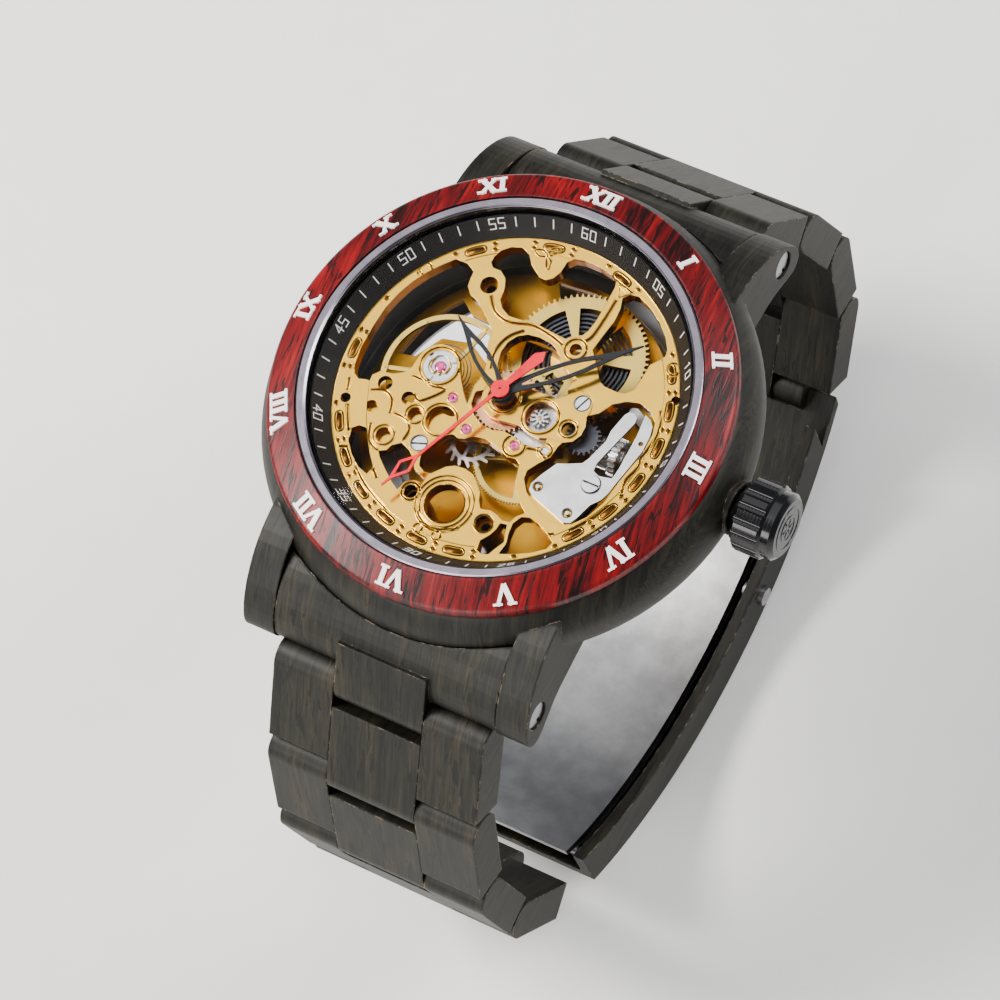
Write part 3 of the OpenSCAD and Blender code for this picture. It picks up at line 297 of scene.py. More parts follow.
# %% The finish builder
class Finish:
    """A material: nodes go in through node(), and principled() closes it."""

    def __init__(self, name):
        self.material = bpy.data.materials.new(name)
        self.material.use_nodes = True
        self.tree = self.material.node_tree
        self.tree.nodes.clear()
        self.output = self.tree.nodes.new("ShaderNodeOutputMaterial")

    def node(self, kind, settings=None, sockets=None, out=0):
        made = self.tree.nodes.new(kind)
        for key, value in (settings or {}).items():
            if key == "stops":
                ramp = made.color_ramp
                while len(ramp.elements) < len(value):
                    ramp.elements.new(0.5)
                for element, (place, colour) in zip(ramp.elements, value):
                    element.position = place
                    element.color = (*colour, 1)
            else:
                setattr(made, key, value)
        for key, value in (sockets or {}).items():
            socket = made.inputs[key]
            if isinstance(value, Value):
                self.tree.links.new(value.socket, socket)
            elif isinstance(value, tuple) and len(value) == 3 and socket.type == "RGBA":
                socket.default_value = (*value, 1)
            else:
                socket.default_value = value
        return Value(self, made.outputs[out])

    def place(self, scale=(1, 1, 1), turn=(0, 0, 0)):
        """Where a point is on its part, in millimetres times the scale."""
        spot = self.node("ShaderNodeTexCoord", out="Object")
        return self.node("ShaderNodeMapping", sockets={"Vector": spot, "Rotation": turn,
                                                       "Scale": tuple(s / MM for s in scale)})

    def noise(self, where, scale=1.0, detail=4.0, rough=0.55, warp=0.0):
        return self.node("ShaderNodeTexNoise", sockets={"Vector": where, "Scale": scale, "Detail": detail,
                                                        "Roughness": rough, "Distortion": warp})

    def axes(self, where):
        split = self.tree.nodes.new("ShaderNodeSeparateXYZ")
        self.tree.links.new(where.socket, split.inputs[0])
        return [Value(self, s) for s in split.outputs]

    def mix(self, mask, a, b, blend="MIX"):
        return self.node("ShaderNodeMix", {"data_type": "RGBA", "blend_type": blend},
                         {0: mask, 6: a, 7: b}, out=2)

    def ramp(self, value, stops):
        return self.node("ShaderNodeValToRGB", {"stops": stops}, {"Fac": value})

    def bump(self, height, depth, strength=1.0):
        return self.node("ShaderNodeBump",
                         sockets={"Height": height, "Distance": depth * MM, "Strength": strength})

    def upward(self):
        """How far a face of the part looks up: 1 for a flat top, 0 for a side face, which gets painted shade."""
        facing = self.axes(self.node("ShaderNodeTexCoord", out="Normal"))[2]
        return facing.maths("ABSOLUTE")

    def edges(self, radius):
        """1 near a sharp edge, 0 on open faces."""
        soft = self.node("ShaderNodeBevel", {"samples": 4}, {"Radius": radius * MM})
        true = self.node("ShaderNodeNewGeometry", out="True Normal")
        agree = self.node("ShaderNodeVectorMath", {"operation": "DOT_PRODUCT"},
                          {0: soft, 1: true}, out="Value")
        return 1 - agree

    def principled(self, **sockets):
        names = {key.replace("_", " "): value for key, value in sockets.items()}
        shader = self.node("ShaderNodeBsdfPrincipled", sockets=names)
        self.tree.links.new(shader.socket, self.output.inputs["Surface"])
        return self.material


finish = {}
print("shader tools ready")

# %% [markdown]
# ## Wood-grain film
#
# The case, links and clasp are steel under a printed wood film. Long thin streaks run from twelve to
# six. Noise that is stretched a great deal in one direction gives such streaks, and a second, coarser
# layer makes some boards of the print darker than others. The film is worn through at the corners, so
# a beige tone shows where the edge mask is strong and a patchy noise allows it.

# %% Dark film for the case and bracelet, red film for the bezel
def wood_film(name, dark, middle, pale, chip, tilt, gloss, wear):
    f = Finish(name)

    def grain(along):
        x, y, z = f.axes(f.place((1, 1, 1), (0, 0, math.radians(tilt))))
        flank = f.axes(f.node("ShaderNodeTexCoord", out="Normal"))[0].maths("ABSOLUTE").above(0.85, 0.1)
        return f.node("ShaderNodeCombineXYZ", sockets={0: x + flank * z, 1: y * along, 2: z * along})

    run = grain(0.055)
    fine = f.noise(run, 3.2, 6, 0.62, 0.5)
    broad = f.noise(grain(0.2), 0.42, 4, 0.6, 0.8)
    pore = f.noise(grain(0.13), 2.1, 3, 0.6, 0.9)
    tone = fine * 0.5 + broad * 0.5
    colour = f.ramp(tone, [(0.38, dark), (0.52, middle), (0.64, pale)])
    colour = f.mix(pore.above(0.575, 0.03) * 0.9, colour, dark)
    patch = f.noise(f.place(), 0.9, 5, 0.7)
    worn = (f.edges(0.16) * 6).maths("MINIMUM", 1.0) * patch.above(wear, 0.04)
    colour = f.mix(worn, colour, chip)
    grit = f.noise(f.place(), 9, 3, 0.6)
    height = fine * 0.5 + pore.above(0.60, 0.05) * -0.4 + grit * 0.25
    round_edge = f.node("ShaderNodeBevel", {"samples": 4}, {"Radius": 0.32 * MM})
    skin = f.node("ShaderNodeBump", sockets={"Height": height, "Distance": 0.02 * MM, "Strength": 0.7,
                                             "Normal": round_edge})
    finish[name] = f.principled(
        Base_Color=colour, Roughness=gloss + broad * 0.14 + worn * 0.15, Metallic=0.0,
        Specular_IOR_Level=0.42,
        Coat_Weight=0.09, Coat_Roughness=0.34, Normal=skin)


wood_film("dark_wood_film", (0.004, 0.0036, 0.0026), (0.0145, 0.0135, 0.0085), (0.036, 0.029, 0.015),
          (0.36, 0.28, 0.18), -4, 0.46, 0.555)
wood_film("red_wood_film", (0.012, 0.002, 0.002), (0.15, 0.007, 0.008), (0.29, 0.014, 0.012),
          (0.50, 0.12, 0.08), -9, 0.30, 0.66)
print("films:", sorted(finish))

# %% [markdown]
# ## Gold, brass and copper
#
# The plate is polished and gilt. Its top is pale and mirror-like, and its cut walls, which see only
# each other, lie in shade and look amber to brown. That darker wall colour is painted shade, and
# `upward` tells the two apart. Near each sharp edge the colour is painted brighter, a painted highlight.
# A faint cloud in the roughness keeps the polish from looking like plastic, and a bevelled normal lets
# each sharp edge catch a line of light, as a hand-bevelled bridge does.

# %% Gilt plates and wheels
def gilt(name, top, painted_wall_shade, rough, lines=0.0, spots=0.0):
    f = Finish(name)
    cloud = f.noise(f.place(), 0.55, 5, 0.6)
    scratch = f.noise(f.place((1, 0.15, 1), (0, 0, 0.6)), 14, 3, 0.6)
    colour = f.mix(cloud.above(0.52, 0.12) * 0.35, top, tuple(c * 0.86 for c in top))
    # Side faces take the darker wall colour: painted shade, because the walls see only each other.
    colour = f.mix(f.upward().above(0.55, 0.3), painted_wall_shade, colour)
    # Sharp edges get a brighter gold: a painted highlight.
    painted_edge_highlight = tuple(min(1, c * 1.15) for c in top)
    colour = f.mix((f.edges(0.09) * 4).maths("MINIMUM", 1.0) * 0.5, colour, painted_edge_highlight)
    height = scratch * 0.3
    if lines:
        x, y, _ = f.axes(f.place())
        turned = (x * x + y * y) ** 0.5
        height = height + (turned * lines).maths("SINE") * 0.5
    if spots:
        cell = f.node("ShaderNodeTexVoronoi", {"feature": "F1"}, {"Vector": f.place(), "Scale": spots,
                                                                  "Randomness": 0.12}, out="Distance")
        height = height + (cell * 42).maths("SINE") * 0.6
    soft = f.node("ShaderNodeBevel", {"samples": 4}, {"Radius": 0.06 * MM})
    relief = f.node("ShaderNodeBump", sockets={"Height": height, "Distance": 0.006 * MM, "Strength": 0.5,
                                               "Normal": soft})
    finish[name] = f.principled(Base_Color=colour, Metallic=1.0, Roughness=rough + cloud * 0.1, Normal=relief)


gilt("gold_plate", (0.967, 0.6, 0.118), (0.354, 0.12, 0.0124), 0.12)
# The lower plate's gold is darker than the plate's: painted shade for where it lies under the movement.
gilt("shaded_lower_gold", (0.572, 0.31, 0.0465), (0.18, 0.07, 0.015), 0.26, spots=1.1)
gilt("brass", (0.74, 0.54, 0.17), (0.30, 0.17, 0.03), 0.24, lines=26)
gilt("copper", (0.82, 0.45, 0.26), (0.42, 0.16, 0.08), 0.24)
# A dark gold that paints the shade inside the engraved pits and grooves.
gilt("groove_shade_gold", (0.13, 0.055, 0.012), (0.06, 0.02, 0.005), 0.30)
print("gilt finishes made")

# %% [markdown]
# ## Steel, black and dark spring steel
#
# Turned rings show fine concentric lines, and flat steel shows a straight brushed grain. Both are a
# sine or a stretched noise that moves the normal and, more gently, the roughness. The same builder
# makes the grey ring, the crown's gloss black and the blued springs with other numbers.

# %% Steels
def steel(name, colour, rough, grain="straight", metallic=1.0, coat=0.0, depth=0.004, across=30):
    f = Finish(name)
    cloud = f.noise(f.place(), 0.5, 4, 0.6)
    brushed = f.noise(f.place((1, 0.03, 1)), across * 0.5, 3, 0.6)
    if grain == "turned":
        x, y, _ = f.axes(f.place())
        brushed = ((x * x + y * y) ** 0.5 * across).maths("SINE") * 0.5 + 0.5
    tint = f.mix(cloud.above(0.5, 0.2), tuple(c * 0.82 for c in colour), colour)
    painted_edge_highlight = tuple(min(1, c * 1.35 + 0.02) for c in colour)
    # Near each sharp edge the steel is painted brighter: a painted highlight.
    tint = f.mix((f.edges(0.08) * 4).maths("MINIMUM", 1.0) * 0.6, tint, painted_edge_highlight)
    finish[name] = f.principled(Base_Color=tint, Metallic=metallic, Coat_Weight=coat, Coat_Roughness=0.12,
                                Roughness=rough + brushed * 0.08 + cloud * 0.08,
                                Normal=f.bump(brushed, depth, 0.6))


steel("bright_steel", (0.74, 0.73, 0.71), 0.24)
steel("back_steel", (0.46, 0.46, 0.47), 0.27, across=18)
steel("dark_steel", (0.10, 0.10, 0.115), 0.28)
steel("grey_ring", (0.27, 0.25, 0.29), 0.20, "turned", across=55)
steel("black_hands", (0.012, 0.013, 0.014), 0.40, metallic=0.2)
steel("gloss_black", (0.018, 0.018, 0.02), 0.16, "turned", metallic=0.7, coat=0.6, across=20)
steel("black_dial", (0.008, 0.008, 0.009), 0.44, "turned", metallic=0.0, across=36)
print("steels made")

# %% [markdown]
# ## Print, lacquer, ruby and glass
#
# Enamel print is slightly uneven at its edge. The second hand is thick glossy lacquer. A watch ruby is
# a clear stone, but at this size it reads as a deep pink with a bright rim. The crystal only reflects
# and lets light by: a Fresnel factor mixes a clear shader with a glossy one, so the dial stays lit.

# %% Colours that are not metal
def lacquer(name, colour, deep, rough, coat, scale):
    f = Finish(name)
    cloud = f.noise(f.place(), scale, 4, 0.6)
    skin = f.noise(f.place(), scale * 8, 2, 0.5)
    tint = f.mix(cloud.above(0.5, 0.22), deep, colour)
    finish[name] = f.principled(Base_Color=tint, Roughness=rough + cloud * 0.1, Coat_Weight=coat,
                                Coat_Roughness=0.06,
                                Normal=f.bump(skin, 0.004, 0.4))


lacquer("white_enamel", (0.90, 0.88, 0.85), (0.80, 0.77, 0.73), 0.38, 0.1, 1.2)
lacquer("red_hand", (0.86, 0.010, 0.018), (0.66, 0.006, 0.012), 0.24, 0.5, 0.6)
lacquer("ruby", (0.72, 0.10, 0.30), (0.34, 0.02, 0.12), 0.07, 0.8, 2.2)
glass = Finish("clear_glass")
haze = glass.noise(glass.place(), 0.15, 3, 0.5)
shine = glass.node("ShaderNodeFresnel", sockets={"IOR": 1.42}) * (0.12 + haze * 0.03)
clear = glass.node("ShaderNodeBsdfTransparent", sockets={"Color": (0.985, 0.99, 1.0)})
gloss = glass.node("ShaderNodeBsdfGlossy", sockets={"Color": (1.0, 1.0, 1.0), "Roughness": 0.03})
both = glass.node("ShaderNodeMixShader", sockets={0: shine, 1: clear, 2: gloss})
glass.tree.links.new(both.socket, glass.output.inputs["Surface"])
finish["clear_glass"] = glass.material
print("finishes:", len(finish))

# %% [markdown]
# ## Giving each part its finish
#
# The record already says which slot each part belongs to. We walk that list and hand each part the
# finish of the same name. The lower plate is the one exception: it lies in shade under the movement
# and is spotted instead of polished, so it has a gilt finish of its own, whose darker gold is painted
# shade.

# %% Dress the CAD parts
for sub in frame["record"]["subparts"]:
    part = frame["nodes"][sub["node"]]
    # The lower plate's darker gold is painted shade.
    wanted = "shaded_lower_gold" if sub["node"] == "lower_plate" else sub["material_slot"]
    part.data.materials.clear()
    part.data.materials.append(finish[wanted])
    for face in part.data.polygons:
        face.material_index = 0

# %% [markdown]
# ## The printed minute track
#
# The sloping ring round the dial carries a tick for each minute and the numbers 05 to 60. Print has
# almost no thickness, so each mark is a thin solid that lies on the cone. We build the marks flat and
# fold them onto the cone: a mark's height along the slope becomes radius and z.

# %% The cone of the minute ring
ring_inner = Vector((15.1, PLATE_TOP + 0.02))
ring_outer = Vector((16.35, 10.2))
slope = (ring_outer - ring_inner).normalized()
lift = Vector((-slope.y, slope.x))


def on_cone(angle, across, along, height):
    """A point of the cone: angle from twelve, then sideways, up the slope and off the face (mm)."""
    spot = ring_inner + slope * along + lift * height
    turn = math.radians(90 - angle) - across / spot.x
    return (spot.x * math.cos(turn), spot.x * math.sin(turn), spot.y)


def cone_pad(shape, angle, outline, height=0.02):
    n = len(outline)
    verts = [on_cone(angle, x, y, z) for z in (-0.008, height) for x, y in outline]
    faces = [tuple(range(n)), tuple(range(n, 2 * n))]
    faces += [(i, (i + 1) % n, n + (i + 1) % n, n + i) for i in range(n)]
    shape.add(verts, faces)


print("slope of the minute ring", round(math.degrees(math.atan2(slope.y, slope.x))), "degrees")

# %% Ticks
track = Shape()
top = (ring_outer - ring_inner).length
for minute in (m for m in range(60) if m % 5):
    half, start = 0.055, top - 1.2
    cone_pad(track, minute * 6, [(-half, start), (half, start), (half, top - 0.25), (-half, top - 0.25)])
track.make("minute_ticks", "case", "white_enamel", smooth=False)

# %% [markdown]
# ## Digits
#
# Seven straight strokes are enough for small plain numerals. Each digit is a list of the strokes that
# it uses, on a grid two units wide and four high. The numbers from 20 to 40 stand the other way up,
# so that they read from below.

# %% Digits from strokes
STROKES = {"a": ((0, 4), (2, 4)), "b": ((2, 4), (2, 2)), "c": ((2, 2), (2, 0)), "d": ((0, 0), (2, 0)),
           "e": ((0, 2), (0, 0)), "f": ((0, 4), (0, 2)), "g": ((0, 2), (2, 2)), "h": ((1, 4), (1, 0)),
           "i": ((0.3, 3.3), (1, 4)), "j": ((0, 0), (2, 2.6)),
           "k": ((2, 2.6), (2, 4)), "l": ((0, 1.4), (1.5, 4)),
           "m": ((0, 1.4), (2.2, 1.4)), "n": ((1.5, 4), (1.5, 0))}
DIGITS = {"0": "abcdef", "1": "hi", "2": "ajkd", "3": "abcdg", "4": "lmn", "5": "afgcd", "6": "afgcde"}


def stroke_quad(a, b, width):
    a, b = Vector(a), Vector(b)
    along = (b - a).normalized() * width / 2
    side = Vector((-along.y, along.x))
    return [a - along - side, b + along - side, b + along + side, a - along + side]


digits = Shape()
size = 0.25
for minute in range(5, 65, 5):
    flip = 20 <= minute <= 40
    for slot, digit in enumerate(f"{minute:02d}"):
        for k, key in enumerate(STROKES[c] for c in DIGITS[digit]):
            quad = stroke_quad(*key, 0.42)
            marks = []
            for p in quad:
                x, y = (p.x - 1 + (slot - 0.5) * 3.2) * size, (p.y - 2) * size
                if flip:
                    x, y = -x, -y
                marks.append((x, y + top - 0.78))
            cone_pad(digits, minute * 6, marks, 0.016 + 0.001 * k)
digits.make("minute_digits", "case", "white_enamel", smooth=False)

# %% [markdown]
# ## The engraved border of the plate
#
# Long pits alternate with pairs of small loops all the way round the rim. On the real plate they are
# cut with a rotating tool. Here each pit is a dark gilt inlay, a painted shade for the hollow of the cut,
# with a raised bead round it. The bead catches light the way a cut edge does, and a true cut would mean
# changing the CAD plate. The border is left out where a window or bridge interrupts it, so a small test
# asks the mesh itself whether there is plate under a mark.

# %% Is there metal at the plate's top here?
def metal_under(node, x, y, z, reach=0.12):
    part = frame["nodes"][node]
    hit, spot, _, _ = part.ray_cast(Vector((x, y, z + 1)) * MM, Vector((0, 0, -1)))
    return hit and abs(spot.z / MM - z) < reach


def all_metal(points, node="main_plate", z=None):
    return all(metal_under(node, p[0], p[1], PLATE_TOP if z is None else z) for p in points)


def offset(path, d):
    """The path moved sideways by d."""
    out = []
    for i, p in enumerate(path):
        along = (path[min(i + 1, len(path) - 1)] - path[max(i - 1, 0)]).normalized()
        out.append(p + Vector((along.y, -along.x)) * d)
    return out


def polar(r, a):
    return Vector((r * math.cos(math.radians(a)), r * math.sin(math.radians(a))))


print("plate under (0, -13):", metal_under("main_plate", 0, -13, PLATE_TOP))

# %% Pits and loops of the border
pits = Shape()
rims = Shape()
count = 26
kept = 0
for i in range(count):
    a = 360 * i / count + 4
    long_pit = [polar(13.98, a - 3.1), polar(13.93, a), polar(13.98, a + 3.1), polar(14.35, a + 4.1),
                polar(14.72, a + 3.2), polar(14.80, a), polar(14.72, a - 3.2), polar(14.35, a - 4.1)]
    outline = curve(long_pit, 4, True)
    if all_metal([polar(13.86, a), polar(14.3, a - 4.3), polar(14.3, a + 4.3)]):
        pad(pits, outline, PLATE_TOP, 0.012)
        sweep(rims, offset(outline, 0.16), PLATE_TOP, bead(0.10, 0.06), True)
        kept += 1
    b = a + 180 / count
    for r, s in ((14.13, 1), (14.66, -1)):
        loop = [polar(r - s * 0.22, b), polar(r, b + 1.15), polar(r + s * 0.2, b), polar(r, b - 1.15)]
        if all_metal(loop):
            small = curve(loop, 4, True)
            pad(pits, small, PLATE_TOP, 0.012)
            sweep(rims, small, PLATE_TOP, bead(0.11, 0.05), True)
for r in (13.72, 14.98):
    steps = 360
    run = []
    for k in range(steps + 1):
        p = polar(r, k)
        if all_metal([p]) and k < steps:
            run.append(p)
        else:
            if len(run) > 3:
                sweep(rims, run, PLATE_TOP, bead(0.10, 0.05))
            run = []
# The pits are dark gold inlays: painted shade in the hollow of each cut.
pits.make("border_pit_shades", "case", "gold_plate").data.materials[0] = finish["groove_shade_gold"]
rims.make("border_beads", "case", "gold_plate")
print(kept, "long pits stand on metal")

# %% [markdown]
# ## Scrolls, leaves and grooves
#
# The rest of the engraving is a set of free curves. A groove is drawn as a dark centre line, a painted
# shade for the hollow of the groove, between two fine beads. `engrave` takes the few points that the
# curve passes through and does all three, and it drops any stretch that has no metal under it.

# %% Draw an engraved line
groove_shades = Shape()
edges = Shape()


def runs_on_metal(path, node, z):
    run, out = [], []
    for p in path:
        if metal_under(node, p.x, p.y, z, 0.08):
            run.append(p)
            continue
        out.append(run)
        run = []
    out.append(run)
    return [r for r in out if len(r) > 2]


def engrave(points, width=0.3, node="main_plate", z=None, closed=False, smooth=True):
    level = PLATE_TOP if z is None else z
    path = curve(points, 8, closed) if smooth else [Vector(p) for p in points]
    if closed:
        path = path + [path[0], path[1]]
    for run in runs_on_metal(path, node, level):
        half = width * 0.3
        # The dark centre line is painted shade inside the groove.
        sweep(groove_shades, run, level, [(-half, -0.01), (-half, 0.014), (half, 0.014), (half, -0.01)])
        for s in (-0.5, 0.5):
            for part in runs_on_metal(offset(run, s * width), node, level):
                sweep(edges, part, level, bead(0.09, 0.045))


# %% Scrolls of the main plate
for line in (
        [(-5.7, 8.0), (-4.6, 6.8), (-3, 6.4), (-1, 6.9), (0.8, 6.7), (2.3, 6.3)],
        [(4.6, 11.8), (4.5, 9.8), (4.3, 8.0), (3.9, 7.3)],
        [(12.95, 4.2), (13.5, 3), (13.7, 1.8), (13.6, 0.6), (13.4, -0.3), (13.6, -1.2),
         (13.2, -2.6), (13.4, -3.8)],
        [(12.95, -5.2), (12.2, -6.8), (10.9, -8.6)],
        [(-13.4, -3.6), (-12.5, -5.6), (-11, -8), (-8, -11.3), (-4.4, -13.1)],
        [(-11.1, -9.6), (-9.4, -9.2), (-7.9, -9.8), (-6.6, -10.9)],
        [(-1.9, -12.2), (-0.6, -12.9), (0.9, -12.8), (2.2, -12.1)],
        [(-2.4, 1.9), (-2.75, 3.0), (-2.75, 4.2), (-2.3, 5.3), (-1.4, 6.2)],
        [(4.0, -3.4), (5.0, -3.2), (6.0, -3.6)],
        [(6.9, -10.4), (8.3, -9.9), (9.9, -9.4)]):
    engrave(line)
for leaf in ([(-2.9, 13.2), (-2.45, 13.6), (-2.2, 14.2), (-2.75, 14.0)],
             [(-2.9, 13.2), (-3.5, 13.55), (-4.15, 13.3), (-3.6, 12.95)],
             [(-2.9, 13.2), (-2.75, 12.7), (-2.3, 12.1), (-2.35, 12.8)]):
    engrave(leaf, 0.2, closed=True)
engrave([(4.1, 13.4), (5.6, 12.95), (4.7, 12.1)], 0.26, closed=True, smooth=False)
for x in (-1.1, 0.7):
    engrave(circle_path((x, -13.5), 0.38, 24), 0.18, closed=True, smooth=False)
for centre, r in (((3.55, 6.35), 0.95), ((2.9, -3.6), 0.95), ((5.55, -2.95), 0.62), ((-3.3, -10.8), 0.8),
                  ((3.9, -10.9), 0.8), ((12.2, 8.0), 0.55), ((-12.2, 8.0), 0.55)):
    engrave(circle_path(centre, r, 40), 0.22, closed=True, smooth=False)
print("scrolls:", len(groove_shades.faces), "faces")

# %% The seconds boss at six and the bridges
ring_at = (-0.05, -10.65)
for r in (1.75, 2.15, 2.55):
    engrave(circle_path(ring_at, r, 72), 0.18, closed=True, smooth=False)
bridge = "balance_bridge"
level = high(bridge)[2]
for line in (
        [(-8.4, -1.3), (-7.2, -1.3), (-6.9, -1.1), (-6.5, -1.5), (-5.1, -1.4), (-6.3, -2.9),
         (-6.9, -3.1), (-7.4, -2.7)],
        [(-8.2, -5.0), (-7, -5.1), (-6.2, -5.8), (-6.2, -7)],
        [(-11.1, -3.9), (-10, -3.5), (-9, -3.9), (-8.5, -5.2)],
        [(-9.6, -6.6), (-8.9, -8.1), (-7.6, -8.6), (-6.2, -8.4)]):
    engrave(line, 0.26, bridge, level)
for centre, r in (((-4.15, -4.0), 1.5), ((-8.0, -7.15), 0.92), ((-6.4, -4.4), 0.86), ((-6.6, 0.4), 1.75)):
    engrave(circle_path(centre, r, 48), 0.18, bridge, level, True, False)
bridge = "centre_bridge"
level = high(bridge)[2]
for centre, r in (((0, 0), 1.4), ((6.45, -0.4), 0.82), ((3.7, -0.33), 1.62)):
    engrave(circle_path(centre, r, 48), 0.18, bridge, level, True, False)
groove_shades.make("engraved_line_shades", "case", "gold_plate").data.materials[0] = finish["groove_shade_gold"]
edges.make("engraved_edges", "case", "gold_plate")

# %% [markdown]
# ## Screws, slots and the shock setting
#
# A polished screw in a polished plate only shows because a thin dark line runs round its head and along
# its slot. Both are tiny gaps on the real watch that lie in shade, so each gets a dark inlay: painted
# shade. The balance staff turns in a ruby under a gold lyre spring, inside a steel cup. The cup is a CAD
# part; the ruby, which is a turned dome, and the spring, which is one bent wire, are added on top of it.

# %% Painted shade round the screws
def gap_shade_section(top):
    """The dark ring in the gap round a screw head or a pin, 0.1 mm wide: painted shade."""
    return [(-0.05, -0.02), (-0.05, top), (0.05, top), (0.05, -0.02)]


# Dark steel rings and slot strips: painted shade in the gaps round and in the screw heads.
gap_shades = Shape()


def screw_gap_shade(x, y, r, z, turn):
    sweep(gap_shades, circle_path((x, y), r + 0.05, 40), z - 0.02, gap_shade_section(0.035), True)
    reach = Vector((math.cos(math.radians(turn)), math.sin(math.radians(turn)))) * (r - 0.03)
    spot = Vector((x, y))
    sweep(gap_shades, [spot - reach, spot, spot + reach], high("plate_screws")[2] - 0.1 if r > 0.7 else z - 0.1,
          [(-0.075, -0.05), (-0.075, 0.0), (0.075, 0.0), (0.075, -0.05)])


screw_gap_shade(6.45, 2.15, 0.66, PLATE_TOP, 70)
screw_gap_shade(-4.8, -6.6, 0.68, PLATE_TOP, 20)
sweep(gap_shades, circle_path((10.6, -4.1), 0.83, 40), COVER_TOP - 0.01, gap_shade_section(0.03), True)
sweep(gap_shades, [Vector((9.86, -4.1)), Vector((10.6, -4.1)), Vector((11.34, -4.1))], COVER_TOP + 0.11,
      [(-0.08, -0.05), (-0.08, 0.0), (0.08, 0.0), (0.08, -0.05)])
for x, y in ((6.5, -6.05), (9.95, -7.2)):
    sweep(gap_shades, circle_path((x, y), 0.42, 32), COVER_TOP - 0.02, gap_shade_section(0.03), True)
gap_shades.make("screw_gap_shades", "case", "dark_steel")

# %% Ruby and lyre spring of the balance
cup = [(a + b) / 2 for a, b in zip(low("shock_setting"), high("shock_setting"))]
cup_top = high("shock_setting")[2]
stone = Shape()
lathe(stone, cup, [(0, cup_top - 0.2), (0.5, cup_top - 0.2), (0.54, cup_top - 0.12), (0.46, cup_top - 0.03),
                   (0.26, cup_top + 0.03), (0, cup_top + 0.045)], 40)
for x, y in ((2.9, -3.55), (-4.12, -1.73), (-1.65, -3.85)):
    r = 0.40
    z = PLATE_TOP - 0.05
    lathe(stone, (x, y), [(0.12, z - 0.03), (r, z - 0.03), (r, z), (0.30, z + 0.03), (0.16, z),
                          (0.12, z - 0.03)], 36)
stone.make("ruby_stones", "case", "ruby")
settings = Shape()
for x, y in ((2.9, -3.55), (-4.12, -1.73), (-1.65, -3.85)):
    lathe(settings, (x, y), [(0.44, PLATE_TOP - 0.02), (0.47, PLATE_TOP + 0.03), (0.53, PLATE_TOP + 0.035),
                             (0.58, PLATE_TOP - 0.02), (0.44, PLATE_TOP - 0.02)], 36)
lyre = [(-0.5, 0.86), (-0.78, 0.5), (-0.86, 0.0), (-0.55, -0.55), (-0.2, -0.36), (0, -0.72), (0.2, -0.36),
        (0.55, -0.55), (0.86, 0.0), (0.78, 0.5), (0.5, 0.86)]
turn = Matrix.Rotation(math.radians(20), 2)
sweep(settings, [Vector(cup[:2]) + turn @ p for p in curve(lyre, 8)], cup_top - 0.13, bead(0.13, 0.10))
settings.make("jewel_settings", "case", "gold_plate")

# %% [markdown]
# ## The star on the minute wheel
#
# A steel disc shows in the D-shaped hole of the centre bridge, with eight petals stamped round a
# gilt pivot. The petals are thin dark inlays on the wheel itself, so they turn with it.

# %% Petals and pivot
star = Shape()
hub = [(a + b) / 2 for a, b in zip(low("minute_wheel"), high("minute_wheel"))]
face = high("minute_wheel")[2]
for k in range(8):
    a = math.radians(45 * k + 12)
    ahead, side = Vector((math.cos(a), math.sin(a))), Vector((-math.sin(a), math.cos(a)))
    leaf = [ahead * r + side * w for r, w in ((0.30, 0), (0.42, 0.09), (0.56, 0.10), (0.68, 0),
                                              (0.56, -0.10), (0.42, -0.09))]
    pad(star, [p + Vector(hub[:2]) for p in curve(leaf, 3, True)], face, 0.012)
star.make("minute_wheel_star", "minute_work", "dark_steel", smooth=False)
pivot = Shape()
lathe(pivot, hub, [(0, face - 0.01), (0.2, face - 0.01), (0.18, face + 0.06), (0.09, face + 0.09),
                   (0, face + 0.09)], 24)
pivot.make("minute_wheel_pivot", "minute_work", "brass")

# %% [markdown]
# ## The crown's end, the case back and the rotor
#
# The crown ends in a chamfered button. It gets a plain pattern, a ring round six short bars, because
# a crown needs some relief there to look finished. The back is a screwed steel ring round a glass, so
# it takes fine turned beads. The rotor under the glass has a heavy rim, which is marked with a row of
# small domes so that its swing shows.

# %% Relief on the crown's end
def stand_up(shape, x):
    """Turns a flat shape so that its top looks along +X at the crown's height."""
    z0 = (low("crown")[2] + high("crown")[2]) / 2
    shape.verts = [(x + v[2], v[0], z0 + v[1]) for v in shape.verts]


emblem = Shape()
tip = high("crown")[0]
for r in (1.15, 1.95):
    sweep(emblem, circle_path((0, 0), r, 48), -0.02, bead(0.2, 0.08), True)
for k in range(6):
    d = polar(1, 60 * k + 30)
    sweep(emblem, [d * 0.25, d * 0.55, d * 0.85], -0.02, bead(0.2, 0.07))
stand_up(emblem, tip)
emblem.make("crown_relief", "crown", "gloss_black")

# %% Beads on the back and domes on the rotor
back_ring = Shape()
for r in (13.55, 15.3, 16.7):
    sweep(back_ring, circle_path((0, 0), r, 128), 0, [(s, -h) for s, h in bead(0.16, 0.05)], True)
back_ring.make("back_beads", "case", "back_steel")
domes = Shape()
rim_low = low("rotor")[2]
DOME = [(0, 0.02), (0.34, 0.02), (0.30, -0.05), (0.16, -0.09), (0, -0.1)]
for k in range(13):
    spot = polar(12.2, -12 - 13 * k)
    lathe(domes, spot, [(r, rim_low + rise) for r, rise in DOME], 20)
domes.make("rotor_domes", "rotor", "brass")

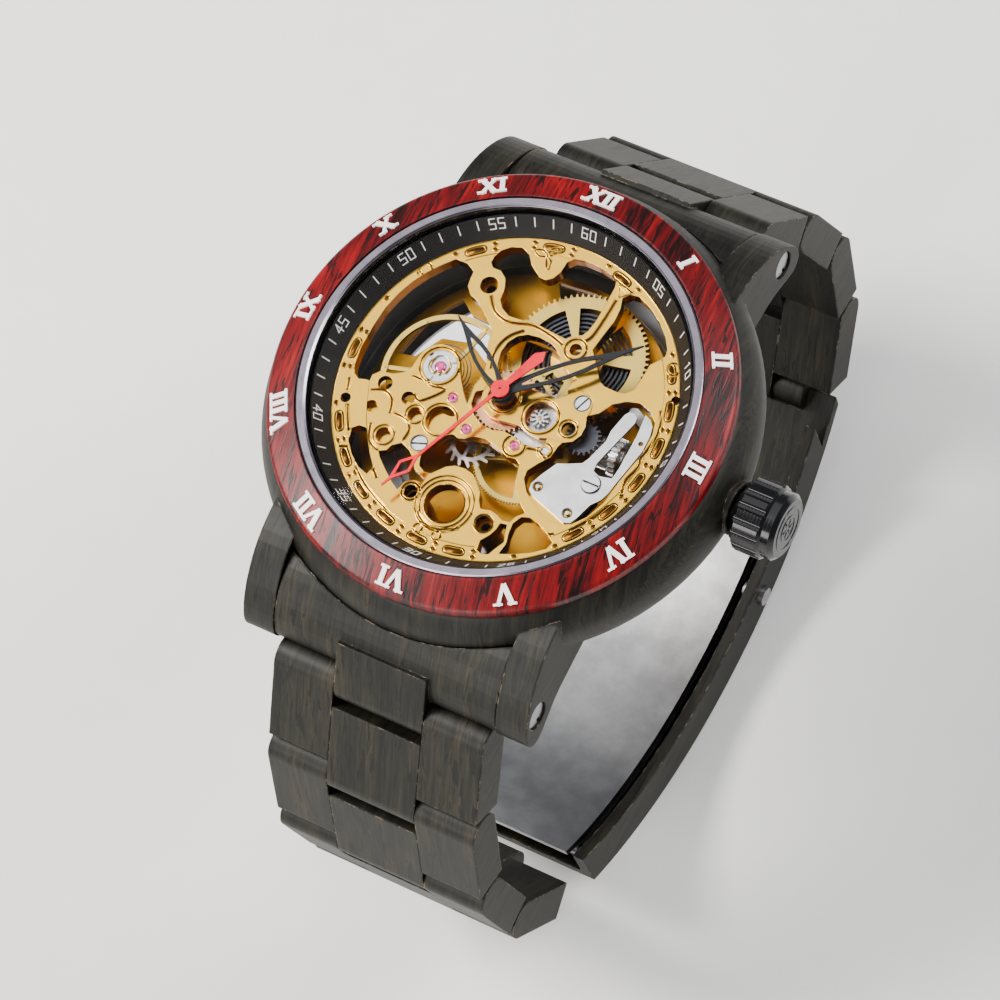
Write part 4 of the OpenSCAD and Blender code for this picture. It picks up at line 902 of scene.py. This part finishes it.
# %% [markdown]
# ## The floor and the light
#
# The watch lies on a plain pale floor. A large soft box stands where the crystal mirrors it only
# faintly, and three weaker ones fill the flanks, so that the dark film keeps its shape and the gilt
# keeps its contrast. The floor is wide enough that its edge never enters a low view.

# %% Floor and light
def flat_floor():
    mesh = bpy.data.meshes.new("studio_floor")
    n, size = 24, 6.0
    verts = [((i / n - 0.5) * size, (j / n - 0.5) * size, FLOOR_Z - 0.0002)
             for j in range(n + 1) for i in range(n + 1)]
    faces = [(j * (n + 1) + i, j * (n + 1) + i + 1, (j + 1) * (n + 1) + i + 1, (j + 1) * (n + 1) + i)
             for j in range(n) for i in range(n)]
    mesh.from_pydata(verts, [], faces)
    floor = bpy.data.objects.new("studio_floor", mesh)
    bpy.context.collection.objects.link(floor)
    return floor


paper = Finish("pale_paper")
fibre = paper.noise(paper.place(), 0.2, 4, 0.6)
floor = flat_floor()
floor.data.materials.append(paper.principled(
    Base_Color=paper.mix(fibre, (0.78, 0.77, 0.75), (0.82, 0.81, 0.79)), Roughness=0.85))
bpy.context.scene.view_settings.look = "AgX - Medium High Contrast"
world = bpy.data.worlds.new("studio")
world.use_nodes = True
world.node_tree.nodes["Background"].inputs["Color"].default_value = (0.86, 0.89, 0.93, 1)
world.node_tree.nodes["Background"].inputs["Strength"].default_value = 0.30
bpy.context.scene.world = world


def softbox(name, spot, size, power, colour):
    lamp = bpy.data.lights.new(name, "AREA")
    lamp.shape = "RECTANGLE"
    lamp.size, lamp.size_y = size
    lamp.energy = power
    lamp.color = colour
    thing = bpy.data.objects.new(name, lamp)
    thing.location = Vector(spot)
    thing.rotation_euler = (-Vector(spot)).to_track_quat("-Z", "Y").to_euler()
    bpy.context.collection.objects.link(thing)


softbox("sky_card", (-0.20, 0.16, 0.46), (0.50, 0.46), 0.80, (1.0, 0.99, 0.97))
softbox("window_box", (-0.30, -0.10, 0.40), (0.20, 0.20), 3.0, (1.0, 0.98, 0.95))
softbox("fill_box", (0.34, 0.30, 0.34), (0.26, 0.20), 2.4, (0.96, 0.98, 1.0))
softbox("low_box", (-0.05, -0.42, 0.20), (0.40, 0.16), 1.3, (1.0, 0.97, 0.94))
print("stage set")
